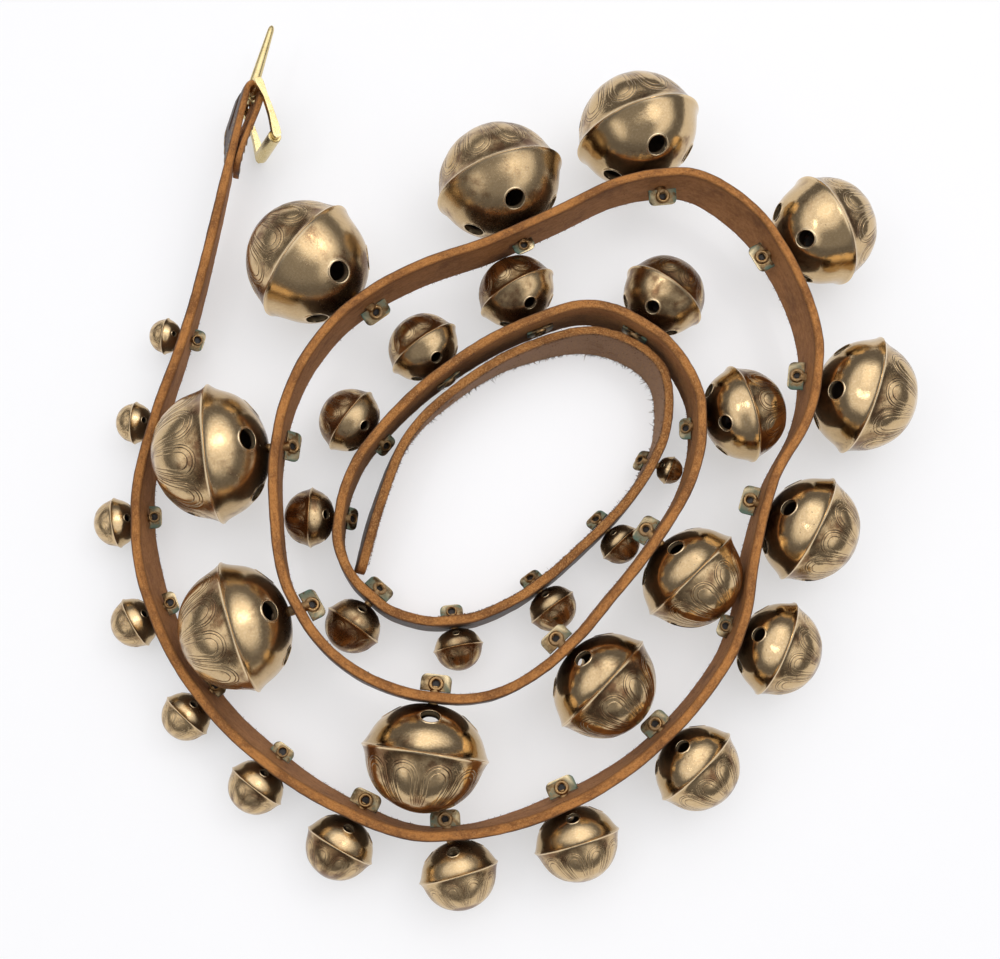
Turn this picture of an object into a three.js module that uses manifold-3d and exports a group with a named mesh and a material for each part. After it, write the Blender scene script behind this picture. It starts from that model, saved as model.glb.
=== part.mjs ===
// Sleigh bell strap: graduated brass petal bells on one leather strap that stands on its edge,
// wound in a loose coil. Sizes are in millimetres and +Z is up.
import * as THREE from 'three';
import { mergeVertices } from 'three/addons/utils/BufferGeometryUtils.js';
import Module from 'manifold-3d';

const wasm = await Module();
wasm.setup();

// Strap
const STRAP_WIDTH = 31.75;
const STRAP_THICKNESS = 5.6;
const STRAP_STEP = 22;
const SEAT_LENGTH = 21;
const SEAT_TOLERANCE = 1e-6;
const ROUTE_DIVISIONS = 4000;
const TIP_LENGTH = 30;
const TIP_WIDTH = 18;
const BILLET_HOLES = 4;
const BILLET_PITCH = 25;
const BILLET_FROM_TIP = 45;
const BILLET_RADIUS = 2;

// Folded end of the strap
const TURN_BACK = 51;
const TURN_BACK_THICKNESS = 3.6;
const LAYER_GAP = 0.4;
const FOLD_STEPS = 8;
const TURN_STEPS = 4;
const FOLD_LIFT = 29;
const FOLD_LIFT_END = 140;
const TONGUE_SLOT_WIDTH = 8.6;
const TONGUE_SLOT_REACH = 24;

// Route of the strap's upper edge in plan, from the fold at the buckle to the tip of the tail
const ROUTE = [
  [-154, 234], [-161, 198], [-169, 155], [-178, 111], [-188, 68], [-200, 26], [-207, -18], [-202, -61],
  [-185, -102], [-159, -138], [-126, -167], [-88, -189], [-47, -203], [-3, -200], [39, -186], [76, -163],
  [108, -132], [132, -95], [141, -52], [153, -9], [175, 29], [183, 72], [173, 115], [151, 153],
  [114, 176], [71, 170], [32, 150], [-8, 130], [-49, 114], [-86, 91], [-113, 56], [-126, 14],
  [-126, -30], [-117, -74], [-90, -110], [-51, -129], [-7, -130], [31, -108], [60, -76], [88, -41],
  [109, -3], [114, 40], [93, 78], [54, 97], [12, 85], [-26, 63], [-59, 34], [-85, -1],
  [-93, -44], [-71, -78], [-30, -89], [11, -74], [44, -47], [75, -15], [95, 21], [94, 63],
  [58, 84], [16, 74], [-22, 51], [-53, 20], [-69, -21], [-79, -62],
];

// Lean of the strap: distance from the fold, then degrees that the upper edge leans outward
const LEAN = [
  [0, -23], [24, -25], [48, -12], [120, -10], [180, -8], [240, -1], [300, 7], [420, 10], [480, 6],
  [540, 1], [600, 8], [660, 3], [780, 0], [840, -4], [900, 2], [1020, 5], [1080, 0], [1440, -3], [1560, 1],
  [1980, -1], [2040, -3], [2160, 0], [2340, 0], [2460, 4], [2520, -6], [2640, -10],
];

// Bells: belt diameter, distance from the bell before, degrees turned off square,
// stand-off from the leather, degrees rolled about the shank
const BELLS = [
  [22, 157.5, 6, 0.5, 0], [25, 54.5, 9, 0.6, 0], [29, 57, 4, 0.8, 0], [30, 54, 7, 0.8, 0],
  [30, 56.5, 8, 1.2, 0], [33.5, 54.5, 0, 0.5, 0], [40, 54.5, -5, 1.6, 0], [44, 51.5, 12, 1, 0],
  [48, 66.5, -7, 0.5, 0], [52, 67, 1, 2, 0], [56, 71.5, -3, 0.6, 0], [65, 73.5, -9, 0.4, 0],
  [71, 83, -9, 1, 25], [69, 84, -4, 6, 16], [78, 87, 11, 3.4, 0], [79, 92, -7, 3, 0],
  [77, 101, 16, 9.5, 0], [79, 101.5, 13, 1.2, 0], [74, 93, -12, 1.2, 0], [70, 93, -2, 0.5, 0],
  [65, 81.5, 3, 0.4, 0], [64, 81, -12, 0.4, 0], [58, 75, 17, 1, 20], [53, 71.5, -4, 4.4, 0],
  [50, 64.5, 7, 1.2, 0], [46, 63, -1, 0.4, 0], [41, 55, 3, 0.5, 0], [35, 51.5, 6, 0.6, 0],
  [34.5, 53, 6, 2.4, 0], [29, 50.5, 5, 0.4, 0], [30, 53, 0, 0.4, 0], [26, 53, -2, 0.4, 0],
  [17.5, 48.5, 6, 2, 0],
];

// Bell shell, as shares of the belt radius where the whole set keeps one form
const DOME_SHARE = 0.92;
const SEAT_DOME_DEPTH = 0.75;
const CROWN_DOME_DEPTH = 0.9;
const FLARE_START = 16;
const WALL_BASE = 1.6;
const WALL_SHARE = 0.036;
const SOUND_HOLES = 4;
const SOUND_HOLE_SHARE = 0.12;
const SOUND_HOLE_LATITUDE = 47;
const SOUND_HOLE_SIDES = 4;
const THROAT_SHARE = 0.08;
const THROAT_START = 0.2;

// Face counts by belt diameter
const LARGE_FROM = 54;
const MIDDLE_FROM = 34;
const SHELL_SIDES = { large: 12, middle: 12, small: 8 };
const SHELL_BANDS = { large: 3, middle: 2, small: 2 };
const HOLLOW_SIDES = 8;
const HOLLOW_RINGS = [-20, 45];

// Shank and keeper
const SHANK_RADIUS = { large: 2.8, middle: 2.4, small: 2 };
const SHANK_CLEARANCE = 0.45;
const SHANK_SIDES = 4;
const KEEPER_LENGTH = { large: 17, middle: 16.5, small: 13 };
const KEEPER_DEPTH = { large: 9.4, middle: 9, small: 7 };
const KEEPER_THICKNESS = 1.4;
const KEEPER_CORNER = 3;
const KEEPER_GAP = 0.6;
const LAID_KEEPERS = [24, 25, 26];
const SHORT_KEEPERS = [11, 16, 23, 27, 28];
const EYE_RADIUS = { large: 4.4, middle: 4.2, small: 3.3 };
const EYE_HOLE = 1.9;
const EYE_RISE = 0.7;
const EYE_SIDES = 6;
const EYE_HOLE_SIDES = 4;

// Pellets
const LOOSE_PELLET_FROM = 34;
const PELLET_SHARE = 0.2;
const PELLET_GAP = 0.3;

// Buckle
const BAR_RADIUS = 2.3;
const BAR_CLEARANCE = 0.5;
const FRAME_SIDE_GAP = 1.8;
const ARM_THICKNESS = 4;
const ARM_WIDTH = 4.6;
const ARM_END_SHARE = 0.6;
const ARM_BOW = 1.4;
const ARM_STEPS = 5;
const FRAME_REACH = 33;
const FRAME_SWING = 33;
const ROD_RADIUS = 1.9;
const ROLLER_RADIUS = 4;
const ROLLER_CLEARANCE = 0.5;
const ROLLER_END_GAP = 0.4;
const TONGUE_SWING = 178;
const TONGUE_LENGTH = 50.5;
const TONGUE_EYE_WALL = 1.7;
const TONGUE_EYE_LENGTH = 6.4;
const TONGUE_ROOT_RADIUS = 3.7;
const TONGUE_TIP_RADIUS = 1.9;
const ROUND_SIDES = 10;

const UP = new THREE.Vector3(0, 0, 1);
const rad = THREE.MathUtils.degToRad;
const OVERRUN = 1.3;
const WELD = 1e-3;
const FLAT_TOLERANCE = 0.005;

const leather = new THREE.MeshStandardMaterial({ color: 0x6b3f24, roughness: 0.8 });
const bellBrass = new THREE.MeshStandardMaterial({ color: 0x9c7b45, roughness: 0.4, metalness: 1 });
const buckleBrass = new THREE.MeshStandardMaterial({ color: 0xb3924e, roughness: 0.35, metalness: 1 });
const iron = new THREE.MeshStandardMaterial({ color: 0x4a4441, roughness: 0.7, metalness: 0.8 });

// Closed body from a geometry, welded and facing out
function solid(geometry) {
  const bare = geometry.clone();
  bare.deleteAttribute('normal');
  bare.deleteAttribute('uv');
  const welded = mergeVertices(bare, WELD);
  const points = welded.getAttribute('position').array;
  const index = welded.index.array;
  const corner = (k) => new THREE.Vector3().fromArray(points, 3 * k);
  let kept = [];
  let volume = 0;
  for (let k = 0; k < index.length; k += 3) {
    const [a, b, c] = [index[k], index[k + 1], index[k + 2]];
    if (a !== b && b !== c && c !== a) {
      kept.push(a, b, c);
      volume += corner(a).dot(corner(b).cross(corner(c)));
    }
  }
  if (volume < 0) {
    kept = kept.reverse();
  }
  const mesh = new wasm.Mesh({
    numProp: 3,
    vertProperties: new Float32Array(points),
    triVerts: new Uint32Array(kept),
  });
  mesh.merge();
  return new wasm.Manifold(mesh);
}

// Plain geometry from a closed body, with needless points on its flats taken out
function shape(body) {
  const mesh = body.asOriginal().simplify(FLAT_TOLERANCE).getMesh();
  const geometry = new THREE.BufferGeometry();
  geometry.setAttribute('position', new THREE.Float32BufferAttribute(mesh.vertProperties, 3));
  geometry.setIndex(new THREE.Uint32BufferAttribute(mesh.triVerts, 1));
  geometry.computeVertexNormals();
  return geometry;
}

// Turned form about +Z from a profile of [radius, height]
function turned(profile, sides) {
  const points = profile.map(([r, z]) => new THREE.Vector2(r, z));
  return new THREE.LatheGeometry(points, sides, Math.PI / sides).rotateX(Math.PI / 2);
}

// Prism about +Z between two heights
function prism(radius, low, high, sides) {
  const body = new THREE.CylinderGeometry(radius, radius, high - low, sides);
  return body.rotateX(Math.PI / 2).translate(0, 0, (low + high) / 2);
}

// Placement whose axes are three given directions
function placement(x, y, z, origin) {
  return new THREE.Matrix4().makeBasis(x, y, z).setPosition(origin);
}

// Value at a distance in a list of [distance, value]
function between(list, s) {
  const last = list.length - 1;
  if (s <= list[0][0]) {
    return list[0][1];
  }
  for (let k = 0; k < last; k += 1) {
    const [a, from] = list[k];
    const [b, to] = list[k + 1];
    if (s <= b) {
      return from + ((to - from) * (s - a)) / (b - a);
    }
  }
  return list[last][1];
}

function sizeOf(belt) {
  if (belt >= LARGE_FROM) {
    return 'large';
  }
  return belt >= MIDDLE_FROM ? 'middle' : 'small';
}

// Route of the strap
const route = new THREE.CatmullRomCurve3(ROUTE.map(([x, y]) => new THREE.Vector3(x, y, 0)));
route.arcLengthDivisions = ROUTE_DIVISIONS;
const routeLength = route.getLength();

const bells = [];
let walked = 0;
for (const [belt, pitch, turn, stand, roll] of BELLS) {
  walked += pitch;
  const number = bells.length + 1;
  const laid = LAID_KEEPERS.includes(number);
  const keeper = SHORT_KEEPERS.includes(number) ? 'small' : sizeOf(belt);
  bells.push({ belt, turn, stand, roll, laid, keeper, at: walked, size: sizeOf(belt) });
}
const lifts = bells.map((bell) => [bell.at, Math.max(STRAP_WIDTH, bell.belt) / 2]);
lifts.unshift([0, FOLD_LIFT], [FOLD_LIFT_END, STRAP_WIDTH / 2]);

// Section of the strap at a distance from the fold
function sectionAt(s) {
  const share = Math.min(Math.max(s / routeLength, 0), 1);
  const along = route.getTangentAt(share);
  const outward = new THREE.Vector3(along.y, -along.x, 0);
  const lean = rad(between(LEAN, s));
  const across = UP.clone().multiplyScalar(Math.cos(lean)).addScaledVector(outward, Math.sin(lean));
  const face = outward.clone().multiplyScalar(Math.cos(lean)).addScaledVector(UP, -Math.sin(lean));
  const centre = route.getPointAt(share).setZ(between(lifts, s) + STRAP_WIDTH / 2);
  centre.addScaledVector(across, -STRAP_WIDTH / 2);
  return { centre, along, across, face };
}

// Flat stretch of the strap that carries one bell
function seatOf(bell) {
  const before = sectionAt(bell.at - SEAT_LENGTH / 2);
  const after = sectionAt(bell.at + SEAT_LENGTH / 2);
  const centre = before.centre.clone().add(after.centre).multiplyScalar(0.5);
  const along = after.centre.clone().sub(before.centre).normalize();
  const across = before.across.clone().add(after.across);
  across.addScaledVector(along, -across.dot(along)).normalize();
  const face = along.clone().cross(across);
  return { centre, along, across, face };
}

// Direction of a bell's own axis, its sizes, and its place in the frame of its seat
function bellForm(bell) {
  const seat = seatOf(bell);
  const outward = new THREE.Vector3(seat.along.y, -seat.along.x, 0).normalize();
  const axis = outward.applyAxisAngle(UP, rad(bell.turn));
  const local = (v) => new THREE.Vector3(v.dot(seat.along), v.dot(seat.across), v.dot(seat.face));
  const z = local(axis);
  const y = local(UP);
  y.addScaledVector(z, -y.dot(z)).normalize();
  y.applyAxisAngle(z, rad(bell.roll));
  const x = y.clone().cross(z);
  const radius = bell.belt / 2;
  const dome = radius * DOME_SHARE;
  const low = radius * SEAT_DOME_DEPTH;
  const high = radius * CROWN_DOME_DEPTH;
  const wall = WALL_BASE + WALL_SHARE * radius;
  const support = Math.hypot(low * z.z, dome * Math.hypot(z.x, z.y));
  const distance = (STRAP_THICKNESS / 2 + bell.stand + support) / z.z;
  const centre = z.clone().multiplyScalar(distance);
  return { seat, axis, x, y, z, radius, dome, low, high, wall, distance, centre };
}

// Hollow shell about the bell's own axis: flared belt, sound holes and throat
function shellBody(bell, form) {
  const bands = SHELL_BANDS[bell.size];
  const sides = SHELL_SIDES[bell.size];
  const angle = (k) => rad(90 - ((90 - FLARE_START) * k) / bands);
  const outer = [];
  for (let k = 0; k <= bands; k += 1) {
    const r = k === 0 ? 0 : form.dome * Math.cos(angle(k));
    outer.push([r, -form.low * Math.sin(angle(k))]);
  }
  outer.push([form.radius, 0]);
  for (let k = bands; k >= 0; k -= 1) {
    const r = k === 0 ? 0 : form.dome * Math.cos(angle(k));
    outer.push([r, form.high * Math.sin(angle(k))]);
  }
  const inner = [[0, form.wall - form.low]];
  for (const turn of HOLLOW_RINGS) {
    const height = turn < 0 ? form.low : form.high;
    inner.push([(form.dome - form.wall) * Math.cos(rad(turn)), (height - form.wall) * Math.sin(rad(turn))]);
  }
  inner.push([0, form.high - form.wall]);
  let cuts = solid(turned(inner, HOLLOW_SIDES));

  const latitude = rad(SOUND_HOLE_LATITUDE);
  const depth = Math.hypot(form.dome * Math.cos(latitude), form.low * Math.sin(latitude));
  const slope = Math.atan2(form.low * Math.sin(latitude), form.dome * Math.cos(latitude));
  const holeRadius = SOUND_HOLE_SHARE * form.radius;
  for (let k = 0; k < SOUND_HOLES; k += 1) {
    const hole = prism(holeRadius, depth / 2, depth * OVERRUN, SOUND_HOLE_SIDES);
    hole.rotateX(-Math.PI / 2 - slope).rotateZ((2 * Math.PI * k) / SOUND_HOLES);
    cuts = cuts.add(solid(hole));
  }
  const throatLow = THROAT_START * form.radius;
  const throatHigh = form.high * OVERRUN;
  const throatWidth = 2 * THROAT_SHARE * form.radius;
  const throat = new THREE.BoxGeometry(2 * form.radius, throatWidth, throatHigh - throatLow);
  cuts = cuts.add(solid(throat.translate(0, 0, (throatLow + throatHigh) / 2)));
  return solid(turned(outer, sides)).subtract(cuts);
}

// Keeper plate and the eye on the end of the shank, in the frame of the seat
function keeperBody(bell, form) {
  const back = STRAP_THICKNESS / 2 + KEEPER_GAP;
  const half = KEEPER_LENGTH[bell.keeper] / 2;
  const depth = KEEPER_DEPTH[bell.keeper];
  const ring = EYE_RADIUS[bell.keeper];
  const reach = bell.laid ? KEEPER_THICKNESS : depth / 2;
  const shift = (-form.z.x / form.z.z) * (back + reach);
  const outline = new THREE.Shape();
  outline.moveTo(-half, 0);
  outline.lineTo(half, 0);
  outline.lineTo(half, depth - KEEPER_CORNER);
  outline.lineTo(half - KEEPER_CORNER, depth);
  outline.lineTo(KEEPER_CORNER - half, depth);
  outline.lineTo(-half, depth - KEEPER_CORNER);
  outline.closePath();
  const plate = new THREE.ExtrudeGeometry(outline, { depth: KEEPER_THICKNESS, bevelEnabled: false });
  const rise = KEEPER_THICKNESS + EYE_RISE;
  let eye = prism(ring, 0, rise, EYE_SIDES);
  let hole = prism(EYE_HOLE, KEEPER_THICKNESS, 2 * ring, EYE_HOLE_SIDES);
  if (bell.laid) {
    plate.translate(0, -depth / 2, -KEEPER_THICKNESS);
    eye = prism(ring, -rise, 0, EYE_SIDES);
    hole = prism(EYE_HOLE, -2 * rise, -rise / 2, EYE_HOLE_SIDES);
  } else {
    plate.rotateX(-Math.PI / 2);
    eye.rotateX(-Math.PI / 2).translate(0, 0, -depth / 2);
    hole.rotateX(-Math.PI / 2).translate(0, 0, -depth / 2);
  }
  const place = [shift, 0, -back];
  const body = solid(plate).add(solid(eye)).translate(place);
  const shankEnd = bell.laid ? reach : reach - EYE_HOLE / 2;
  return { body, hole: solid(hole).translate(place), shankEnd: back + shankEnd };
}

// One bell with its shank, keeper and eye, in the frame of its seat
function bellBody(bell, form) {
  const keeper = keeperBody(bell, form);
  const turnOut = placement(form.x, form.y, form.z, form.centre);
  const lay = (body) => body.transform(turnOut.elements);
  const shankRadius = SHANK_RADIUS[bell.size];
  const shankFrom = -form.distance - keeper.shankEnd / form.z.z;
  const shank = solid(prism(shankRadius, shankFrom, form.wall / 2 - form.low, SHANK_SIDES));
  let body = lay(shellBody(bell, form)).add(lay(shank)).add(keeper.body).subtract(keeper.hole);
  if (bell.belt < LOOSE_PELLET_FROM) {
    const ball = solid(pelletGeometry(bell, form, 0));
    body = body.add(ball.transform(hangPlacement(form, new THREE.Matrix4()).elements));
  }
  return body;
}

// Pellet at the lowest point of the hollow, about the bell's centre with -Y down;
// without a gap it is seated in the wall
function pelletGeometry(bell, form, gap) {
  const radius = PELLET_SHARE * form.radius;
  const hollow = form.dome - form.wall;
  const [low, high] = HOLLOW_RINGS.map(rad);
  const from = new THREE.Vector2(hollow * Math.cos(low), (form.low - form.wall) * Math.sin(low));
  const to = new THREE.Vector2(hollow * Math.cos(high), (form.high - form.wall) * Math.sin(high));
  const flank = to.clone().sub(from);
  const rise = -from.y / flank.y;
  const level = (from.x + flank.x * rise) * Math.cos(Math.PI / HOLLOW_SIDES);
  const clear = level - ((radius + gap) * flank.length()) / flank.y;
  const orbit = gap > 0 ? clear : hollow - radius / 2;
  const golden = (1 + Math.sqrt(5)) / 2;
  const ball = new THREE.IcosahedronGeometry(radius).rotateZ(Math.atan(1 / golden));
  return ball.translate(0, -orbit, 0);
}

// Frame at the bell's centre: Z on its axis, Y up, inside a given parent placement
function hangPlacement(form, parent) {
  const { seat } = form;
  const z = form.z.clone();
  const y = new THREE.Vector3(UP.dot(seat.along), UP.dot(seat.across), UP.dot(seat.face));
  y.addScaledVector(z, -y.dot(z)).normalize();
  return parent.clone().multiply(placement(y.clone().cross(z), y, z, form.centre));
}

// Strap as one band through its sections, folded back at the buckle
function strapBody() {
  const start = sectionAt(0);
  const bar = barCentre();
  const sections = [];
  const corner = (section, n, a) => {
    const point = section.centre.clone().addScaledVector(section.normal, (n * section.thickness) / 2);
    return point.addScaledVector(section.across, (a * section.width) / 2);
  };
  const foldOffset = 2 * (BAR_RADIUS + BAR_CLEARANCE) + (STRAP_THICKNESS + TURN_BACK_THICKNESS) / 2;
  const flatOffset = (STRAP_THICKNESS + TURN_BACK_THICKNESS) / 2 + LAYER_GAP;
  for (let k = TURN_STEPS; k > 0; k -= 1) {
    const s = (TURN_BACK * k) / TURN_STEPS;
    const section = sectionAt(s);
    const share = (1 + Math.cos((Math.PI * k) / TURN_STEPS)) / 2;
    const offset = flatOffset + (foldOffset - flatOffset) * share;
    section.centre.addScaledVector(section.face, -offset);
    const normal = section.face.clone().negate();
    sections.push({ ...section, normal, thickness: TURN_BACK_THICKNESS, width: STRAP_WIDTH });
  }
  for (let k = 0; k < FOLD_STEPS; k += 1) {
    const turn = (Math.PI * k) / FOLD_STEPS;
    const thickness = TURN_BACK_THICKNESS + ((STRAP_THICKNESS - TURN_BACK_THICKNESS) * k) / FOLD_STEPS;
    const normal = start.face.clone().multiplyScalar(-Math.cos(turn));
    normal.addScaledVector(start.along, -Math.sin(turn));
    const centre = bar.clone().addScaledVector(normal, BAR_RADIUS + BAR_CLEARANCE + thickness / 2);
    sections.push({ centre, across: start.across, normal, thickness, width: STRAP_WIDTH });
  }
  for (const s of strapStations()) {
    const section = seatedSection(s);
    const tip = Math.max(0, (s - routeLength + TIP_LENGTH) / TIP_LENGTH);
    const width = STRAP_WIDTH + (TIP_WIDTH - STRAP_WIDTH) * tip;
    sections.push({ ...section, normal: section.face, thickness: STRAP_THICKNESS, width });
  }
  const points = [];
  const faces = [];
  const rim = [[1, 1], [-1, 1], [-1, -1], [1, -1]];
  sections.forEach((section, k) => {
    rim.forEach(([n, a], j) => {
      points.push(...corner(section, n, a).toArray());
      if (k > 0) {
        const [p, q] = [rim.length * (k - 1), rim.length * k];
        const next = (j + 1) % rim.length;
        faces.push(p + j, q + j, q + next, p + j, q + next, p + next);
      }
    });
  });
  const end = rim.length * (sections.length - 1);
  for (let j = 1; j + 1 < rim.length; j += 1) {
    faces.push(0, j, j + 1, end, end + j + 1, end + j);
  }
  const band = new THREE.BufferGeometry();
  band.setAttribute('position', new THREE.Float32BufferAttribute(points, 3));
  band.setIndex(faces);
  return solid(band);
}

// Section of the strap that lies flat in the plane of a seat where it bounds one
function seatedSection(s) {
  const section = sectionAt(s);
  const bell = bells.find((b) => Math.abs(s - b.at) < SEAT_LENGTH / 2 + SEAT_TOLERANCE);
  if (!bell) {
    return section;
  }
  const { across, face } = seatOf(bell);
  return { ...section, across, face };
}

// Distances of the strap's sections: a flat at each seat and even steps between
function strapStations() {
  const knots = [0];
  for (const bell of bells) {
    knots.push(bell.at - SEAT_LENGTH / 2, bell.at + SEAT_LENGTH / 2);
  }
  knots.push(routeLength - TIP_LENGTH, routeLength);
  const stations = [];
  for (let k = 0; k + 1 < knots.length; k += 1) {
    const flat = k % 2 === 1;
    const parts = flat ? 1 : Math.ceil((knots[k + 1] - knots[k]) / STRAP_STEP);
    for (let j = 0; j < parts; j += 1) {
      stations.push(knots[k] + ((knots[k + 1] - knots[k]) * j) / parts);
    }
  }
  stations.push(routeLength);
  return stations;
}

// Centre of the buckle bar inside the fold
function barCentre() {
  const start = sectionAt(0);
  return start.centre.clone().addScaledVector(start.face, -BAR_RADIUS - BAR_CLEARANCE - STRAP_THICKNESS / 2);
}

// Holes through the strap for shanks, tongue and billet
function strapCuts(forms) {
  const start = sectionAt(0);
  const slot = new THREE.BoxGeometry(2 * TONGUE_SLOT_REACH, TONGUE_SLOT_WIDTH, 2 * TONGUE_SLOT_REACH);
  slot.applyMatrix4(placement(start.along, start.across, start.face, barCentre()));
  let cuts = solid(slot);
  bells.forEach((bell, k) => {
    const { seat, x, y, z } = forms[k];
    const reach = (SHANK_RADIUS[bell.size] + SHANK_CLEARANCE) / Math.cos(Math.PI / SHANK_SIDES);
    const hole = prism(reach, -STRAP_THICKNESS, STRAP_THICKNESS, SHANK_SIDES);
    hole.applyMatrix4(placement(x, y, z, new THREE.Vector3()));
    hole.applyMatrix4(placement(seat.along, seat.across, seat.face, seat.centre));
    cuts = cuts.add(solid(hole));
  });
  for (let k = 0; k < BILLET_HOLES; k += 1) {
    const place = sectionAt(routeLength - BILLET_FROM_TIP - BILLET_PITCH * k);
    const hole = prism(BILLET_RADIUS, -STRAP_THICKNESS, STRAP_THICKNESS, SHANK_SIDES);
    hole.applyMatrix4(placement(place.along, place.across, place.face, place.centre));
    cuts = cuts.add(solid(hole));
  }
  return cuts;
}

// Buckle frame: bar, two bowed arms and the rod for the roller; X runs from bar to rod, Z along the bar
function frameBody() {
  const inside = STRAP_WIDTH / 2 + FRAME_SIDE_GAP;
  const outside = inside + ARM_THICKNESS;
  const bar = solid(prism(BAR_RADIUS, -outside, outside, ROUND_SIDES));
  const rod = solid(prism(ROD_RADIUS, -outside, outside, ROUND_SIDES).translate(FRAME_REACH, 0, 0));
  const edge = (side) => {
    const line = [];
    for (let k = 0; k <= ARM_STEPS; k += 1) {
      const share = k / ARM_STEPS;
      const x = -ARM_WIDTH / 2 + (FRAME_REACH + ARM_WIDTH) * share;
      const bow = ARM_BOW * Math.sin(Math.PI * share);
      const half = (ARM_WIDTH / 2) * (k === 0 || k === ARM_STEPS ? ARM_END_SHARE : 1);
      line.push(new THREE.Vector2(x, bow + side * half));
    }
    return line;
  };
  const outline = new THREE.Shape([...edge(-1), ...edge(1).reverse()]);
  const arm = new THREE.ExtrudeGeometry(outline, { depth: ARM_THICKNESS, bevelEnabled: false });
  const upper = solid(arm.clone().translate(0, 0, inside));
  const lower = solid(arm.clone().translate(0, 0, -outside));
  return bar.add(rod).add(upper).add(lower);
}

// Roller tube about its own axis
function rollerGeometry() {
  const half = STRAP_WIDTH / 2 + FRAME_SIDE_GAP - ROLLER_END_GAP;
  const hole = ROD_RADIUS + ROLLER_CLEARANCE;
  const profile = [[hole, -half], [ROLLER_RADIUS, -half], [ROLLER_RADIUS, half], [hole, half], [hole, -half]];
  return shape(solid(turned(profile, ROUND_SIDES)));
}

// Tongue: eye about the bar and a tapering pin along X
function tongueGeometry() {
  const hole = BAR_RADIUS + BAR_CLEARANCE;
  const outer = hole + TONGUE_EYE_WALL;
  const half = TONGUE_EYE_LENGTH / 2;
  const eye = solid(prism(outer, -half, half, ROUND_SIDES));
  const pin = new THREE.CylinderGeometry(TONGUE_TIP_RADIUS, TONGUE_ROOT_RADIUS, TONGUE_LENGTH, SHANK_SIDES);
  pin.rotateZ(-Math.PI / 2).translate(TONGUE_LENGTH / 2, 0, 0);
  const bore = solid(prism(hole, -2 * half, 2 * half, ROUND_SIDES));
  return shape(eye.add(solid(pin)).subtract(bore));
}

function named(name, geometry, material, matrix) {
  const mesh = new THREE.Mesh(geometry, material);
  mesh.name = name;
  matrix.decompose(mesh.position, mesh.quaternion, mesh.scale);
  mesh.scale.set(1, 1, 1);
  return mesh;
}

const part = new THREE.Group();
part.name = 'sleigh_bell_strap';

const forms = bells.map(bellForm);
const strap = strapBody().subtract(strapCuts(forms));
part.add(named('strap', shape(strap), leather, new THREE.Matrix4()));

bells.forEach((bell, k) => {
  const number = String(k + 1).padStart(2, '0');
  const { seat } = forms[k];
  const place = placement(seat.along, seat.across, seat.face, seat.centre);
  part.add(named(`bell_${number}`, shape(bellBody(bell, forms[k])), bellBrass, place));
  if (bell.belt >= LOOSE_PELLET_FROM) {
    const ball = shape(solid(pelletGeometry(bell, forms[k], PELLET_GAP)));
    part.add(named(`pellet_${number}`, ball, iron, hangPlacement(forms[k], place)));
  }
});

// Buckle on its bar: the frame lies back along the strap and the tongue is flipped open
const fold = sectionAt(0);
const swung = (degrees) => {
  const x = fold.along.clone().multiplyScalar(Math.cos(rad(degrees)));
  x.addScaledVector(fold.face, -Math.sin(rad(degrees)));
  return placement(x, fold.across.clone().cross(x), fold.across, barCentre());
};
part.add(named('buckle_frame', shape(frameBody()), buckleBrass, swung(FRAME_SWING)));
const rodPlace = swung(FRAME_SWING).multiply(new THREE.Matrix4().makeTranslation(FRAME_REACH, 0, 0));
part.add(named('buckle_roller', rollerGeometry(), buckleBrass, rodPlace));
part.add(named('buckle_tongue', tongueGeometry(), buckleBrass, swung(TONGUE_SWING)));

// Origin at the bottom centre of the whole
part.updateMatrixWorld(true);
const box = new THREE.Box3().setFromObject(part, true);
part.position.set(-(box.min.x + box.max.x) / 2, -(box.min.y + box.max.y) / 2, -box.min.z);
part.updateMatrixWorld(true);

export default part;
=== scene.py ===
# %% [markdown]
# A sleigh bell strap: one long leather strap stands on its edge in a loose coil and carries
# thirty-three graduated brass petal bells. The CAD model gives every piece its size, place and
# joint. This lesson models the same pieces again with the roundness, engraving and wear that a
# camera sees, and lets each new piece ride on the CAD body that moves it.

# %% Open the shared frame
import math
import random

import bpy
import numpy as np
from mathutils import Matrix, Vector
from mathutils.kdtree import KDTree


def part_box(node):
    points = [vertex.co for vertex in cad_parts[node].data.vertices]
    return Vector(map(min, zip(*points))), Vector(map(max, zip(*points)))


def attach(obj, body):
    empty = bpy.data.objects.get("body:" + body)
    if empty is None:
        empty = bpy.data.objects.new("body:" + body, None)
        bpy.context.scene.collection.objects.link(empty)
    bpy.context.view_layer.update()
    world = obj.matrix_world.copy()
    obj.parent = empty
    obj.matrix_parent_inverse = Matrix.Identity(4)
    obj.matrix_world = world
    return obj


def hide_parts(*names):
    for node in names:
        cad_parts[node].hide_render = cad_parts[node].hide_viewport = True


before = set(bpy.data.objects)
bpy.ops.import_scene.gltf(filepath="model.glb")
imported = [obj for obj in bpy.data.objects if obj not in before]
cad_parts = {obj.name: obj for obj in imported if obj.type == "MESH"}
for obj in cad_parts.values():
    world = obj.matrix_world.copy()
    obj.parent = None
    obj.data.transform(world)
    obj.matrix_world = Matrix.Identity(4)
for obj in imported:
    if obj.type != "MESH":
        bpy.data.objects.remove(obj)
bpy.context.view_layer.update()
MM = 0.001

# %% [markdown]
# The photograph looks almost straight down on the coil from its near side. A camera can be aimed
# with a Track To constraint, but a fixed matrix keeps the small roll that the picture has.

# %% Camera
CAMERA_PLACE = (-0.03602, -0.18227, 0.70118)
CAMERA_RIGHT = (0.999004, 0.0, 0.044627)
CAMERA_UP = (-0.009986, 0.974644, 0.223539)
CAMERA_BACK = (-0.043495, -0.223762, 0.973673)
FOCAL_PIXELS = 1200
PICTURE_WIDTH = 1000

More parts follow.
